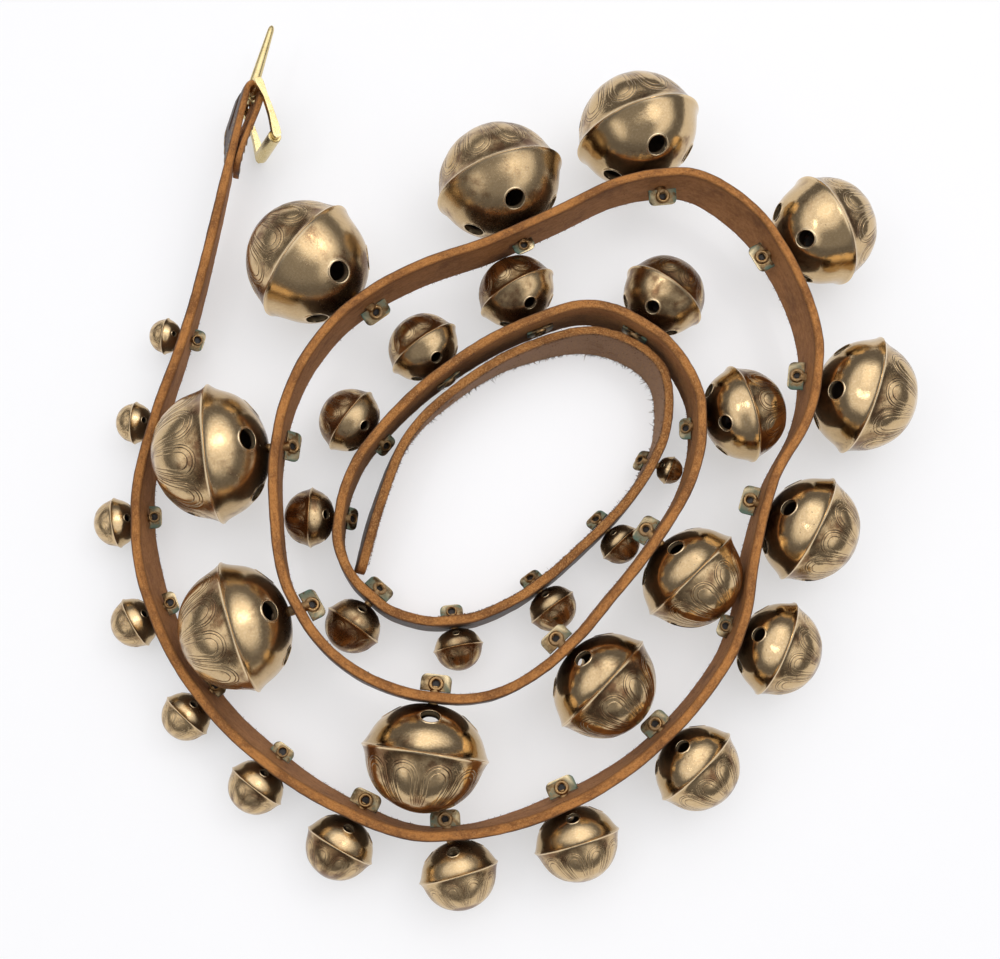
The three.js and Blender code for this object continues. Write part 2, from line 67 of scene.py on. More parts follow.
lens = bpy.data.cameras.new("camera")
lens.sensor_fit = "HORIZONTAL"
lens.angle = 2 * math.atan(PICTURE_WIDTH / 2 / FOCAL_PIXELS)
lens.clip_start = 0.01
camera = bpy.data.objects.new("camera", lens)
bpy.context.scene.collection.objects.link(camera)
camera.matrix_world = Matrix([
    [CAMERA_RIGHT[k], CAMERA_UP[k], CAMERA_BACK[k], CAMERA_PLACE[k]] for k in range(3)
] + [[0, 0, 0, 1]])
bpy.context.scene.camera = camera
bpy.context.scene.view_settings.view_transform = "Standard"
print("camera at", CAMERA_PLACE)

# %% [markdown]
# Every operator acts on what is selected, so a few helpers keep the selection clear: one takes
# objects in hand, one starts a new piece from the Add menu, one opens a piece in edit mode, and
# two read and write its points at once.

# %% Hand tools
def put_down():
    if bpy.context.object and bpy.context.object.mode != "OBJECT":
        bpy.ops.object.mode_set(mode="OBJECT")
    bpy.ops.object.select_all(action="DESELECT")


def take(*objects):
    put_down()
    for obj in objects:
        obj.select_set(True)
    bpy.context.view_layer.objects.active = objects[0]
    return objects[0]


def open_up(obj, choose="SELECT"):
    take(obj)
    bpy.ops.object.mode_set(mode="EDIT")
    bpy.ops.mesh.select_mode(type="VERT")
    bpy.ops.mesh.select_all(action=choose)


def rename(obj, name):
    obj.name = obj.data.name = name
    return obj


def start(name, add, **settings):
    """A new piece from an operator of the Add menu, with its place and turn applied."""
    put_down()
    add(**settings)
    bpy.ops.object.transform_apply(location=True, rotation=True, scale=True)
    return rename(bpy.context.object, name)


def read_points(obj):
    values = np.empty(3 * len(obj.data.vertices))
    obj.data.vertices.foreach_get("co", values)
    return values.reshape(-1, 3)


def write_points(obj, points):
    obj.data.vertices.foreach_set("co", np.ascontiguousarray(points, dtype=float).ravel())
    obj.data.update()


def mark(obj, name, values):
    """Values for the points, under a name that the finishes read; a single number goes to all."""
    values = np.asarray(values, dtype=float)
    if values.ndim == 0:
        values = np.full(len(obj.data.vertices), values)
    vector = values.ndim == 2
    layer = obj.data.attributes.new(name, "FLOAT_VECTOR" if vector else "FLOAT", "POINT")
    layer.data.foreach_set("vector" if vector else "value", values.ravel())


def use(obj, kind, **settings):
    take(obj)
    modifier = obj.modifiers.new(kind.lower(), kind)
    for key, value in settings.items():
        setattr(modifier, key, value)
    bpy.ops.object.modifier_apply(modifier=modifier.name)
    return obj


def bevel(obj, width, segments, degrees=30):
    """Round the edges that are sharper than an angle, by a width in millimetres."""
    return use(obj, "BEVEL", width=width * MM, segments=segments, limit_method="ANGLE",
               angle_limit=math.radians(degrees))


def cut(obj, *tools, operation="DIFFERENCE"):
    for tool in tools:
        use(obj, "BOOLEAN", object=tool, operation=operation, solver="EXACT")
        bpy.data.objects.remove(tool, do_unlink=True)
    return obj


def join(*objects):
    take(*objects)
    bpy.ops.object.join()
    return bpy.context.object


def copy_of(obj, name):
    take(obj)
    bpy.ops.object.duplicate(linked=False)
    return rename(bpy.context.object, name)


def smooth(obj, angle=35):
    take(obj)
    bpy.ops.object.shade_smooth_by_angle(angle=math.radians(angle))


def throw_away(*objects):
    for obj in objects:
        bpy.data.objects.remove(obj, do_unlink=True)


def coat(obj, finish):
    obj.data.materials.clear()
    obj.data.materials.append(finish)


def in_metres(x, y, z, origin):
    """The matrix of a place from its three ways and its origin in millimetres."""
    rows = [[x[k], y[k], z[k], origin[k] * MM] for k in range(3)]
    return Matrix(rows + [[0, 0, 0, 1]])


print("hand tools ready")

# %% [markdown]
# The strap's course, its lean and the row of bells repeat the values of the CAD source, so that
# every new piece lands where its CAD twin is. A Bezier curve with a Curve modifier could carry
# the strap too, but plain arrays of sections keep the lean, the fold and the flat seats exact.

# %% Values shared with the CAD source
DOME = 0.92
SEAT_DEPTH = 0.75
CROWN_DEPTH = 0.90
STRAP_WIDTH = 31.75
STRAP_THICKNESS = 5.6
SEAT_LENGTH = 21
TIP_LENGTH = 30
TIP_WIDTH = 18
TURN_BACK = 51
TURN_BACK_THICKNESS = 3.6
LAYER_GAP = 0.4
FOLD_LIFT = 29
FOLD_LIFT_END = 140
ROW_SHIFT = np.array([-4.70, -21.16, 0.14])

ROUTE = np.array([
    [-154, 234], [-161, 198], [-169, 155], [-178, 111], [-188, 68], [-200, 26], [-207, -18], [-202, -61],
    [-185, -102], [-159, -138], [-126, -167], [-88, -189], [-47, -203], [-3, -200], [39, -186], [76, -163],
    [108, -132], [132, -95], [141, -52], [153, -9], [175, 29], [183, 72], [173, 115], [151, 153],
    [114, 176], [71, 170], [32, 150], [-8, 130], [-49, 114], [-86, 91], [-113, 56], [-126, 14],
    [-126, -30], [-117, -74], [-90, -110], [-51, -129], [-7, -130], [31, -108], [60, -76], [88, -41],
    [109, -3], [114, 40], [93, 78], [54, 97], [12, 85], [-26, 63], [-59, 34], [-85, -1],
    [-93, -44], [-71, -78], [-30, -89], [11, -74], [44, -47], [75, -15], [95, 21], [94, 63],
    [58, 84], [16, 74], [-22, 51], [-53, 20], [-69, -21], [-79, -62],
], dtype=float)

LEAN = np.array([
    [0, -23], [24, -25], [48, -12], [120, -10], [180, -8], [240, -1], [300, 7], [420, 10], [480, 6],
    [540, 1], [600, 8], [660, 3], [780, 0], [840, -4], [900, 2], [1020, 5], [1080, 0], [1440, -3],
    [1560, 1], [1980, -1], [2040, -3], [2160, 0], [2340, 0], [2460, 4], [2520, -6], [2640, -10],
], dtype=float)

# belt diameter, distance from the bell before, degrees turned, stand-off, degrees rolled
BELLS = [
    [22, 157.5, 6, 0.5, 0], [25, 54.5, 9, 0.6, 0], [29, 57, 4, 0.8, 0], [30, 54, 7, 0.8, 0],
    [30, 56.5, 8, 1.2, 0], [33.5, 54.5, 0, 0.5, 0], [40, 54.5, -5, 1.6, 0], [44, 51.5, 12, 1, 0],
    [48, 66.5, -7, 0.5, 0], [52, 67, 1, 2, 0], [56, 71.5, -3, 0.6, 0], [65, 73.5, -9, 0.4, 0],
    [71, 83, -9, 1, 25], [69, 84, -4, 6, 16], [78, 87, 11, 3.4, 0], [79, 92, -7, 3, 0],
    [77, 101, 16, 9.5, 0], [79, 101.5, 13, 1.2, 0], [74, 93, -12, 1.2, 0], [70, 93, -2, 0.5, 0],
    [65, 81.5, 3, 0.4, 0], [64, 81, -12, 0.4, 0], [58, 75, 17, 1, 20], [53, 71.5, -4, 4.4, 0],
    [50, 64.5, 7, 1.2, 0], [46, 63, -1, 0.4, 0], [41, 55, 3, 0.5, 0], [35, 51.5, 6, 0.6, 0],
    [34.5, 53, 6, 2.4, 0], [29, 50.5, 5, 0.4, 0], [30, 53, 0, 0.4, 0], [26, 53, -2, 0.4, 0],
    [17.5, 48.5, 6, 2, 0],
]
STATIONS = np.cumsum([bell[1] for bell in BELLS])
print(len(BELLS), "bells on", len(ROUTE), "points of route")

# %% The strap's course as a table of sections
ROUTE_STEPS = 64


def course_points():
    ends = np.vstack([2 * ROUTE[0] - ROUTE[1], ROUTE, 2 * ROUTE[-1] - ROUTE[-2]])
    share = np.arange(ROUTE_STEPS)[:, None] / ROUTE_STEPS
    rows = []
    for k in range(len(ROUTE) - 1):
        p0, p1, p2, p3 = ends[k:k + 4]
        d0, d1, d2 = (math.sqrt(math.dist(a, b)) for a, b in ((p0, p1), (p1, p2), (p2, p3)))
        m1 = ((p1 - p0) / d0 - (p2 - p0) / (d0 + d1) + (p2 - p1) / d1) * d1
        m2 = ((p2 - p1) / d1 - (p3 - p1) / (d1 + d2) + (p3 - p2) / d2) * d1
        c2 = -3 * p1 + 3 * p2 - 2 * m1 - m2
        c3 = 2 * p1 - 2 * p2 + m1 + m2
        rows.append(p1 + share * (m1 + share * (c2 + share * c3)))
    return np.vstack(rows + [ROUTE[-1:]])


COURSE = course_points()
COURSE_AT = np.concatenate([[0], np.cumsum(np.linalg.norm(np.diff(COURSE, axis=0), axis=1))])
COURSE_WAY = np.gradient(COURSE, axis=0)
COURSE_WAY /= np.linalg.norm(COURSE_WAY, axis=1)[:, None]
STRAP_LENGTH = COURSE_AT[-1]
LIFT_AT = np.concatenate([[0, FOLD_LIFT_END], STATIONS])
LIFT = np.array([FOLD_LIFT, STRAP_WIDTH / 2] + [max(STRAP_WIDTH, bell[0]) / 2 for bell in BELLS])


def unit(rows):
    return rows / np.linalg.norm(rows, axis=-1, keepdims=True)


def sections(at):
    """Centre, along, across and face of the strap at distances from the fold, in millimetres."""
    at = np.clip(np.atleast_1d(at).astype(float), 0, STRAP_LENGTH)
    place = np.stack([np.interp(at, COURSE_AT, COURSE[:, k]) for k in (0, 1)], axis=1)
    way = unit(np.stack([np.interp(at, COURSE_AT, COURSE_WAY[:, k]) for k in (0, 1)], axis=1))
    zero = np.zeros(len(at))
    along = np.stack([way[:, 0], way[:, 1], zero], axis=1)
    outward = np.stack([way[:, 1], -way[:, 0], zero], axis=1)
    lean = np.radians(np.interp(at, LEAN[:, 0], LEAN[:, 1]))[:, None]
    up = np.array([[0.0, 0.0, 1.0]])
    across = up * np.cos(lean) + outward * np.sin(lean)
    face = outward * np.cos(lean) - up * np.sin(lean)
    top = np.stack([place[:, 0], place[:, 1], np.interp(at, LIFT_AT, LIFT) + STRAP_WIDTH / 2], axis=1)
    return top - across * STRAP_WIDTH / 2 + ROW_SHIFT, along, across, face


print("strap length", round(STRAP_LENGTH), "mm")

# %% Seats of the bells
def seat_of(station):
    centre, _, across, _ = sections([station - SEAT_LENGTH / 2, station + SEAT_LENGTH / 2])
    x = unit(centre[1] - centre[0])
    y = across[0] + across[1]
    y = unit(y - x * y.dot(x))
    return (centre[0] + centre[1]) / 2, x, y, np.cross(x, y)


def turned(vector, axis, degrees):
    return np.array(Matrix.Rotation(math.radians(degrees), 3, Vector(axis)) @ Vector(vector))


SEATS = [seat_of(station) for station in STATIONS]
print(len(SEATS), "seats, the first at", np.round(SEATS[0][0], 1))

# %% [markdown]
# A finish is a small network of nodes. Drawing it with the mouse shows every link, but written
# as Python sums it stays short: Wire wraps one socket and its operators add the Math nodes, and
# Finish makes any other node from its type, its settings and the values of its sockets.

# %% Finishes as Python expressions
class Wire:
    def __init__(self, finish, socket):
        self.finish = finish
        self.socket = socket

    def maths(self, operation, *values):
        return self.finish.node("Math", {"operation": operation}, dict(enumerate(values)))

    def __add__(self, other):
        return self.maths("ADD", self, other)

    def __sub__(self, other):
        return self.maths("SUBTRACT", self, other)

    def __rsub__(self, other):
        return self.maths("SUBTRACT", other, self)

    def __mul__(self, other):
        return self.maths("MULTIPLY", self, other)

    def __truediv__(self, other):
        return self.maths("DIVIDE", self, other)

    def __pow__(self, other):
        return self.maths("POWER", self, other)

    __radd__ = __add__
    __rmul__ = __mul__

    def size(self):
        return self.maths("ABSOLUTE", self)

    def most(self, other):
        return self.maths("MAXIMUM", self, other)

    def least(self, other):
        return self.maths("MINIMUM", self, other)

    def ramp(self, low, high):
        settings = {"interpolation_type": "SMOOTHSTEP"}
        return self.finish.node("MapRange", settings, {0: self, 1: low, 2: high})


print("wires ready")

# %% A finish and the nodes that it can hold
class Finish:
    def __init__(self, name):
        self.material = bpy.data.materials.new(name)
        self.material.use_nodes = True
        self.tree = self.material.node_tree
        self.shader = self.tree.nodes["Principled BSDF"]
        self.where = self.node("TexCoord", {}, {}, "Object")

    def feed(self, socket, value):
        if isinstance(value, Wire):
            self.tree.links.new(value.socket, socket)
        elif isinstance(value, tuple) and len(value) == 3 and socket.type == "RGBA":
            socket.default_value = (*value, 1.0)
        else:
            socket.default_value = value

    def node(self, kind, settings, sockets, output=0):
        node = self.tree.nodes.new("ShaderNode" + kind)
        for key, value in settings.items():
            setattr(node, key, value)
        for key, value in sockets.items():
            self.feed(node.inputs[key], value)
        return Wire(self, node.outputs[output])

    def mark(self, name, output="Fac"):
        return self.node("Attribute", {"attribute_name": name}, {}, output)

    def parts(self, vector):
        split = self.node("SeparateXYZ", {}, {0: vector})
        return [Wire(self, out) for out in split.socket.node.outputs]

    def stretch(self, vector, scale):
        return self.node("VectorMath", {"operation": "MULTIPLY"}, {0: vector, 1: scale})

    def cloud(self, per_metre, detail, rough, vector=None):
        sockets = {"Vector": vector or self.where, "Scale": per_metre}
        return self.node("TexNoise", {}, sockets | {"Detail": detail, "Roughness": rough})

    def cells(self, per_metre, vector=None):
        return self.node("TexVoronoi", {}, {"Vector": vector or self.where, "Scale": per_metre})

    def blend(self, amount, first, second):
        settings = {"data_type": "RGBA", "clamp_factor": True}
        return self.node("Mix", settings, {0: amount, 6: first, 7: second}, 2)

    def finish(self, colour, rough, metal, height=None, depth=0.0, **constants):
        sockets = {"Base Color": colour, "Roughness": rough, "Metallic": metal} | constants
        for key, value in sockets.items():
            self.feed(self.shader.inputs[key.replace("_", " ")], value)
        if height is not None:
            sockets = {"Strength": 1.0, "Distance": depth, "Height": height}
            self.feed(self.shader.inputs["Normal"], self.node("Bump", {}, sockets))
        return self.material


print("finishes ready")

# %% [markdown]
# The bells are cast bronze-brass, rubbed bright where hands reach and brown where they don't. One
# plain gold would look like plastic. The finish therefore lays a brown skin over bright metal by
# two sizes of cloud, keeps it thick in the engraving, on the crown and next to the strap, where
# its dark is also painted shade, and rubs it off the belt and the rims of the sound holes, which
# are painted paler still as a highlight. The inside is painted dark as shade. The marks on the
# mesh say where all those are.

# %% Bell finish
BRIGHT_BRASS = (0.59, 0.42, 0.222)
# Pale brass for bright flecks, and for the belt and hole rims, where it is partly a painted highlight.
PALE_BRASS = (0.82, 0.65, 0.42)
BROWN_SKIN = (0.235, 0.148, 0.070)
RED_SKIN = (0.195, 0.104, 0.050)
# Dark brown patina, also used as painted shade inside the bell and next to the strap.
DARK_SKIN_AND_SHADE = (0.055, 0.033, 0.018)
GREEN_BLOOM = (0.13, 0.19, 0.135)
PETALS = 10
PETAL_GAP = 2 * math.pi / PETALS
PETAL_HALF = math.radians(15.5)
PETAL_TOP = math.radians(9)
PETAL_BEND = math.radians(26)
PETAL_END = math.radians(62)
PETAL_LINES = (1.0, 0.84, 0.55)
LINE_WIDTH = 0.045


def petal_lines(x, y, z):
    """The engraved arches, 0 to 1, as thin as the graver cut them."""
    level = (x * x + y * y) ** 0.5 / DOME
    lift = z.maths("ARCTAN2", z / CROWN_DEPTH, level)
    aside = x.maths("PINGPONG", x.maths("ARCTAN2", y, x), PETAL_GAP / 2) / PETAL_HALF
    below = ((PETAL_BEND - lift) / (PETAL_BEND - PETAL_TOP)).most(0.0)
    reach = (aside * aside + below * below) ** 0.5
    lines = [(reach - share).size().ramp(LINE_WIDTH, 0.0) for share in PETAL_LINES]
    return lines[0].most(lines[1]).most(lines[2]) * lift.ramp(PETAL_END, PETAL_END - 0.2)


def bell_finish():
    f = Finish("bell_brass")
    shell = f.mark("shell", "Vector")
    x, y, z = f.parts(shell)
    groove = petal_lines(x, y, z) * f.mark("outside")
    rim = f.mark("rim")
    puff = f.mark("puff")
    broad = f.cloud(42, 4, 0.6)
    middle = f.cloud(170, 5, 0.65)
    fine = f.cloud(900, 4, 0.6)
    crown = z.ramp(0.0, 0.05)
    # Next to the strap the bowl gets more brown skin and more dark: brown patina, and painted shade where
    # the strap shades the bowl.
    strap_side_patina_and_shade = z.ramp(-0.40, -0.68)
    brown = (broad - 0.5) * 1.7 + (middle - 0.5) * 1.0 + crown * 0.42 + strap_side_patina_and_shade * 0.35
    brown = brown + f.mark("tone_and_highlight")
    brown = (brown - 0.35 * puff).ramp(-0.05, 0.8)
    brown = (brown + groove * 0.5 - rim * 0.9).ramp(0.0, 1.0)
    # Dark patina in the engraving and in the cloud, and painted shade next to the strap.
    dark = (groove * 0.7 + strap_side_patina_and_shade * 0.25 + (middle - 0.55) * 0.8).ramp(0.3, 0.95)
    gold = f.blend(fine.ramp(0.40, 0.80) * 0.4, BRIGHT_BRASS, PALE_BRASS)
    skin = f.blend(f.cloud(85, 4, 0.6).ramp(0.42, 0.62), BROWN_SKIN, RED_SKIN)
    colour = f.blend(brown, gold, skin)
    colour = f.blend(dark, colour, DARK_SKIN_AND_SHADE)
    # The belt and the hole rims: rubbed brass, painted paler still as a highlight.
    colour = f.blend(rim * 0.7, colour, PALE_BRASS)
    # The inside of the bell is painted nearly black as shade, seen through the sound holes and the throat.
    inside = f.mark("inside")
    colour = f.blend(inside * 0.95, colour, DARK_SKIN_AND_SHADE)
    pits = f.cells(420).ramp(0.16, 0.08) * f.cloud(70, 3, 0.5).ramp(0.52, 0.66)
    colour = f.blend(pits * 0.8, colour, DARK_SKIN_AND_SHADE)
    bloom = f.cloud(120, 5, 0.7).ramp(0.68, 0.78) * (1 - rim)
    colour = f.blend(bloom * 0.45, colour, GREEN_BLOOM)
    rough = 0.24 - 0.10 * f.mark("polish") + 0.05 * brown + 0.25 * bloom + 0.35 * inside
    rough = rough + 0.16 * (fine - 0.5) + 0.16 * (middle - 0.5)
    metal = 1.0 - 0.35 * bloom - 0.12 * dark - 0.5 * inside
    lathe = f.cloud(1.0, 2, 0.5, f.stretch(shell, (5.0, 5.0, 150.0)))
    punch = f.cells(1.0, f.stretch(shell, (34.0, 34.0, 34.0)))
    stipple = f.mark("stipple") * punch.ramp(0.0, 0.5)
    height = 0.8 * middle + 0.16 * fine + 0.06 * lathe + 0.5 * stipple - 0.5 * pits - 1.3 * groove
    return f.finish(colour, rough.most(0.08), metal, height, 0.00014)


BELL_FINISH = bell_finish()
print("finish", BELL_FINISH.name)

# %% [markdown]
# Harness leather is dark on its smooth outer face, browner on the fleshy inner face and raw
# orange-tan along the cut edges. Three painted images would do it, but marks on the mesh for edge
# and flesh let one finish do all three at real scale, with fibres drawn out along the strap.

# %% Leather finish
EDGE_TAN = (0.50, 0.207, 0.053)
EDGE_BROWN = (0.235, 0.090, 0.025)
EDGE_DARK_AND_SHADE = (0.070, 0.027, 0.011)
EDGE_PALE = (0.66, 0.35, 0.12)
FLESH_BROWN = (0.31, 0.130, 0.043)
FLESH_TAN = (0.44, 0.200, 0.070)
FLESH_DARK = (0.135, 0.057, 0.022)
FLESH_GREY = (0.30, 0.190, 0.122)
GRAIN_DARK = (0.045, 0.028, 0.021)
GRAIN_BROWN = (0.115, 0.056, 0.030)


def leather_finish():
    f = Finish("harness_leather")
    edge = f.mark("edge")
    flesh = f.mark("flesh")
    inner = f.mark("inner_turn")
    run = f.mark("run", "Vector")
    through, across = f.parts(run)[1:]
    patch = f.cloud(1.0, 4, 0.6, f.stretch(run, (38.0, 80.0, 62.0)))
    streak = f.cloud(1.0, 5, 0.7, f.stretch(run, (330.0, 520.0, 520.0)))
    fuzz = f.cloud(1.0, 4, 0.7, f.stretch(run, (1100.0, 1500.0, 1500.0)))
    grit = f.cloud(2600, 3, 0.65)
    speck = f.cells(620).ramp(0.24, 0.10) * f.cloud(90, 3, 0.5).ramp(0.44, 0.60)
    tan = f.blend((0.6 * patch + 0.4 * streak).ramp(0.40, 0.58), EDGE_BROWN, EDGE_TAN)
    tan = f.blend(fuzz.ramp(0.50, 0.62) * (0.30 + 0.5 * inner), tan, EDGE_PALE)
    tan = f.blend(fuzz.ramp(0.48, 0.38) * (0.35 + 0.4 * inner), tan, EDGE_BROWN)
    # The rounded corners of the cut edge go darker: burnished leather, and painted shade where the edge
    # turns away from the light.
    corner = through.ramp(0.0014, 0.0026) + 0.35 * through.ramp(-0.0014, -0.0026)
    tan = f.blend(corner * (0.9 - 0.5 * inner) * streak.ramp(0.30, 0.56), tan, EDGE_DARK_AND_SHADE)
    tan = f.blend(speck * 0.8, tan, EDGE_DARK_AND_SHADE)
    raw = f.blend((0.7 * streak + 0.3 * patch).ramp(0.38, 0.62), FLESH_BROWN, FLESH_TAN)
    raw = f.blend(inner.ramp(0.45, 1.0) * 0.8, raw, FLESH_GREY)
    raw = f.blend(patch.ramp(0.46, 0.30) * 0.55, raw, FLESH_DARK)
    low_line = across.size().ramp(0.0125, 0.0150) * (1 - 0.7 * inner)
    raw = f.blend(low_line * streak.ramp(0.34, 0.60) * 0.8, raw, FLESH_DARK)
    raw = f.blend(fuzz.ramp(0.50, 0.64) * (0.15 + 0.35 * inner), raw, EDGE_PALE)
    raw = f.blend(speck * 0.6, raw, FLESH_DARK)
    grain = f.blend(patch.ramp(0.42, 0.70), GRAIN_DARK, GRAIN_BROWN)
    face = f.blend(flesh, grain, raw)
    colour = f.blend(edge, face, tan)
    rough = 0.48 + 0.32 * flesh + 0.24 * edge + 0.16 * (grit - 0.5)
    nap = 0.25 + 0.45 * edge + 0.9 * inner * edge.most(flesh)
    height = fuzz * nap + 0.3 * grit + 0.35 * streak - 0.3 * speck
    return f.finish(colour, rough.least(0.95), 0.0, height, 0.0007, Specular_IOR_Level=0.35)


LEATHER = leather_finish()
print("finish", LEATHER.name)

# %% [markdown]
# Keepers and shanks are the same brass as the bells, but nobody rubs them: they are dull, with
# blue-green bloom where damp leather touches, a painted highlight along the lip of each plate and
# painted black shade at the floor of its eye. The buckle is a yellower casting, and its high places
# shine. Pellets are rusty iron. The thread is waxed linen.

# %% Finishes of the small pieces
KEEPER_DARK = (0.060, 0.040, 0.022)
KEEPER_BRASS = (0.31, 0.235, 0.130)
KEEPER_GREEN = (0.075, 0.165, 0.125)
KEEPER_LIP_HIGHLIGHT = (0.74, 0.60, 0.36)
RING_BRASS = (0.36, 0.215, 0.090)
EYE_SHADE_BLACK = (0.018, 0.013, 0.010)
BUCKLE_DEEP = (0.58, 0.45, 0.20)
BUCKLE_BRASS = (0.72, 0.58, 0.29)
BUCKLE_PALE = (0.86, 0.75, 0.47)
IRON_GREY = (0.075, 0.068, 0.064)
RUST = (0.16, 0.066, 0.027)
THREAD_DARK = (0.20, 0.125, 0.062)
THREAD_PALE = (0.52, 0.40, 0.25)


def keeper_finish():
    f = Finish("keeper_brass")
    lip_highlight = f.mark("lip_highlight")
    pit = f.mark("pit")
    patch = f.cloud(260, 5, 0.7)
    fine = f.cloud(1500, 4, 0.6)
    colour = f.blend(patch.ramp(0.38, 0.62), KEEPER_DARK, KEEPER_BRASS)
    green = f.cloud(130, 4, 0.7).ramp(0.47, 0.56) * (1 - 0.8 * lip_highlight)
    colour = f.blend(green * (0.55 + 0.5 * fine), colour, KEEPER_GREEN)
    ring = f.mark("ring")
    colour = f.blend(ring * (0.7 + 0.4 * patch), colour, RING_BRASS)
    # The lip of the plate is painted pale as a highlight; there it is also smoother and free of bloom.
    colour = f.blend(lip_highlight * (0.45 + 0.8 * fine), colour, KEEPER_LIP_HIGHLIGHT)
    # The floor of the eye is painted black as the shade in the hole.
    colour = f.blend(pit, colour, EYE_SHADE_BLACK)
    rough = 0.40 - 0.16 * lip_highlight - 0.1 * ring + 0.25 * green + 0.2 * (fine - 0.5)
    metal = 1.0 - 0.7 * green.most(pit).ramp(0.0, 1.0)
    return f.finish(colour, rough, metal, 0.6 * patch + 0.4 * fine, 0.0003)


def buckle_finish():
    f = Finish("buckle_brass")
    patch = f.cloud(150, 5, 0.65)
    fine = f.cloud(1300, 4, 0.6)
    colour = f.blend(patch.ramp(0.25, 0.65), BUCKLE_DEEP, BUCKLE_BRASS)
    colour = f.blend(fine.ramp(0.5, 0.65) * 0.5, colour, BUCKLE_PALE)
    rough = 0.27 + 0.16 * (patch - 0.5) + 0.16 * (fine - 0.5)
    metal = 1.0 - 0.15 * patch.ramp(0.45, 0.3)
    return f.finish(colour, rough, metal, 0.4 * patch + 0.4 * fine, 0.00012)


def iron_finish():
    f = Finish("pellet_iron")
    patch = f.cloud(260, 5, 0.7)
    fine = f.cloud(1400, 4, 0.6)
    rust = patch.ramp(0.45, 0.62)
    colour = f.blend(rust, IRON_GREY, RUST)
    return f.finish(colour, 0.55 + 0.25 * rust, 0.85 - 0.7 * rust, 0.5 * patch + 0.5 * fine, 0.0004)


def thread_finish():
    f = Finish("waxed_thread")
    twist = f.mark("twist")
    fine = f.cloud(2600, 3, 0.6)
    colour = f.blend(twist * 0.7 + fine * 0.3, THREAD_DARK, THREAD_PALE)
    return f.finish(colour, 0.66 + 0.2 * (fine - 0.5), 0.0, 0.7 * twist + 0.3 * fine, 0.0002)


KEEPER_FINISH = keeper_finish()
BUCKLE_FINISH = buckle_finish()
IRON = iron_finish()
THREAD = thread_finish()
print("finishes", [m.name for m in (KEEPER_FINISH, BUCKLE_FINISH, IRON, THREAD)])

# %% [markdown]
# The strap is one length of thick harness leather. A flat plane with Solidify would give it sharp
# corners and the same edge everywhere. Here a grid is rolled into a closed skin: its rows follow
# the course and its columns run round a section with softened corners, so that the edges can
# wander and fray a little, as a knife-cut edge does, while the seats stay flat for the bells.

# %% Rows of the strap, from the turned-back end round the bar and along the coil
BAR_RADIUS = 2.3
BAR_CLEARANCE = 0.5
ROW_STEP = 1.25
FOLD_ROWS = 20
SKIVED = 70
SEAT_BLEND = 3.5
TURN_BACK_CORNER = 9.0
TURN_BACK_TRIM = 1.6
TIP_CORNER = 7.0
TIP_TRIM = 1.5


def soften(rows, reach):
    padded = np.pad(rows, ((reach, reach), (0, 0)), mode="edge")
    total = np.cumsum(np.vstack([np.zeros((1, 3)), padded]), axis=0)
    return (total[2 * reach + 1:] - total[:-2 * reach - 1]) / (2 * reach + 1)


def coil_rows(at):
    centre, _, across, _ = sections(at)
    for station, (middle, x, y, _) in zip(STATIONS, SEATS):
        flat = np.abs(at - station) <= SEAT_LENGTH / 2
        centre[flat] = middle + np.outer(at[flat] - station, x)
        across[flat] = y
    reach = max(1, round(SEAT_BLEND / (at[1] - at[0])))
    centre = soften(soften(centre, reach), reach)
    along = unit(np.gradient(centre, axis=0))
    across = soften(across, reach)
    across = unit(across - along * np.sum(across * along, axis=1)[:, None])
    return centre, along, across, np.cross(along, across)


COIL_AT = np.linspace(0, STRAP_LENGTH, round(STRAP_LENGTH / ROW_STEP) + 1)
COIL = coil_rows(COIL_AT)
FOLD = [rows[0] for rows in COIL]
BAR_CENTRE = FOLD[0] - FOLD[3] * (BAR_RADIUS + BAR_CLEARANCE + STRAP_THICKNESS / 2)


def coil_at(s):
    """Centre, along, across and face of the coil at one distance."""
    return [np.array([np.interp(s, COIL_AT, part[:, j]) for j in range(3)]) for part in COIL]


def rounding(left, corner):
    """How far a round corner has come in, at a distance from the end."""
    return corner - math.sqrt(max(0, corner ** 2 - max(0, corner - left) ** 2))


def skived(s):
    """Thickness of the leather, which is pared down towards the fold."""
    return TURN_BACK_THICKNESS + (STRAP_THICKNESS - TURN_BACK_THICKNESS) * min(1, s / SKIVED)


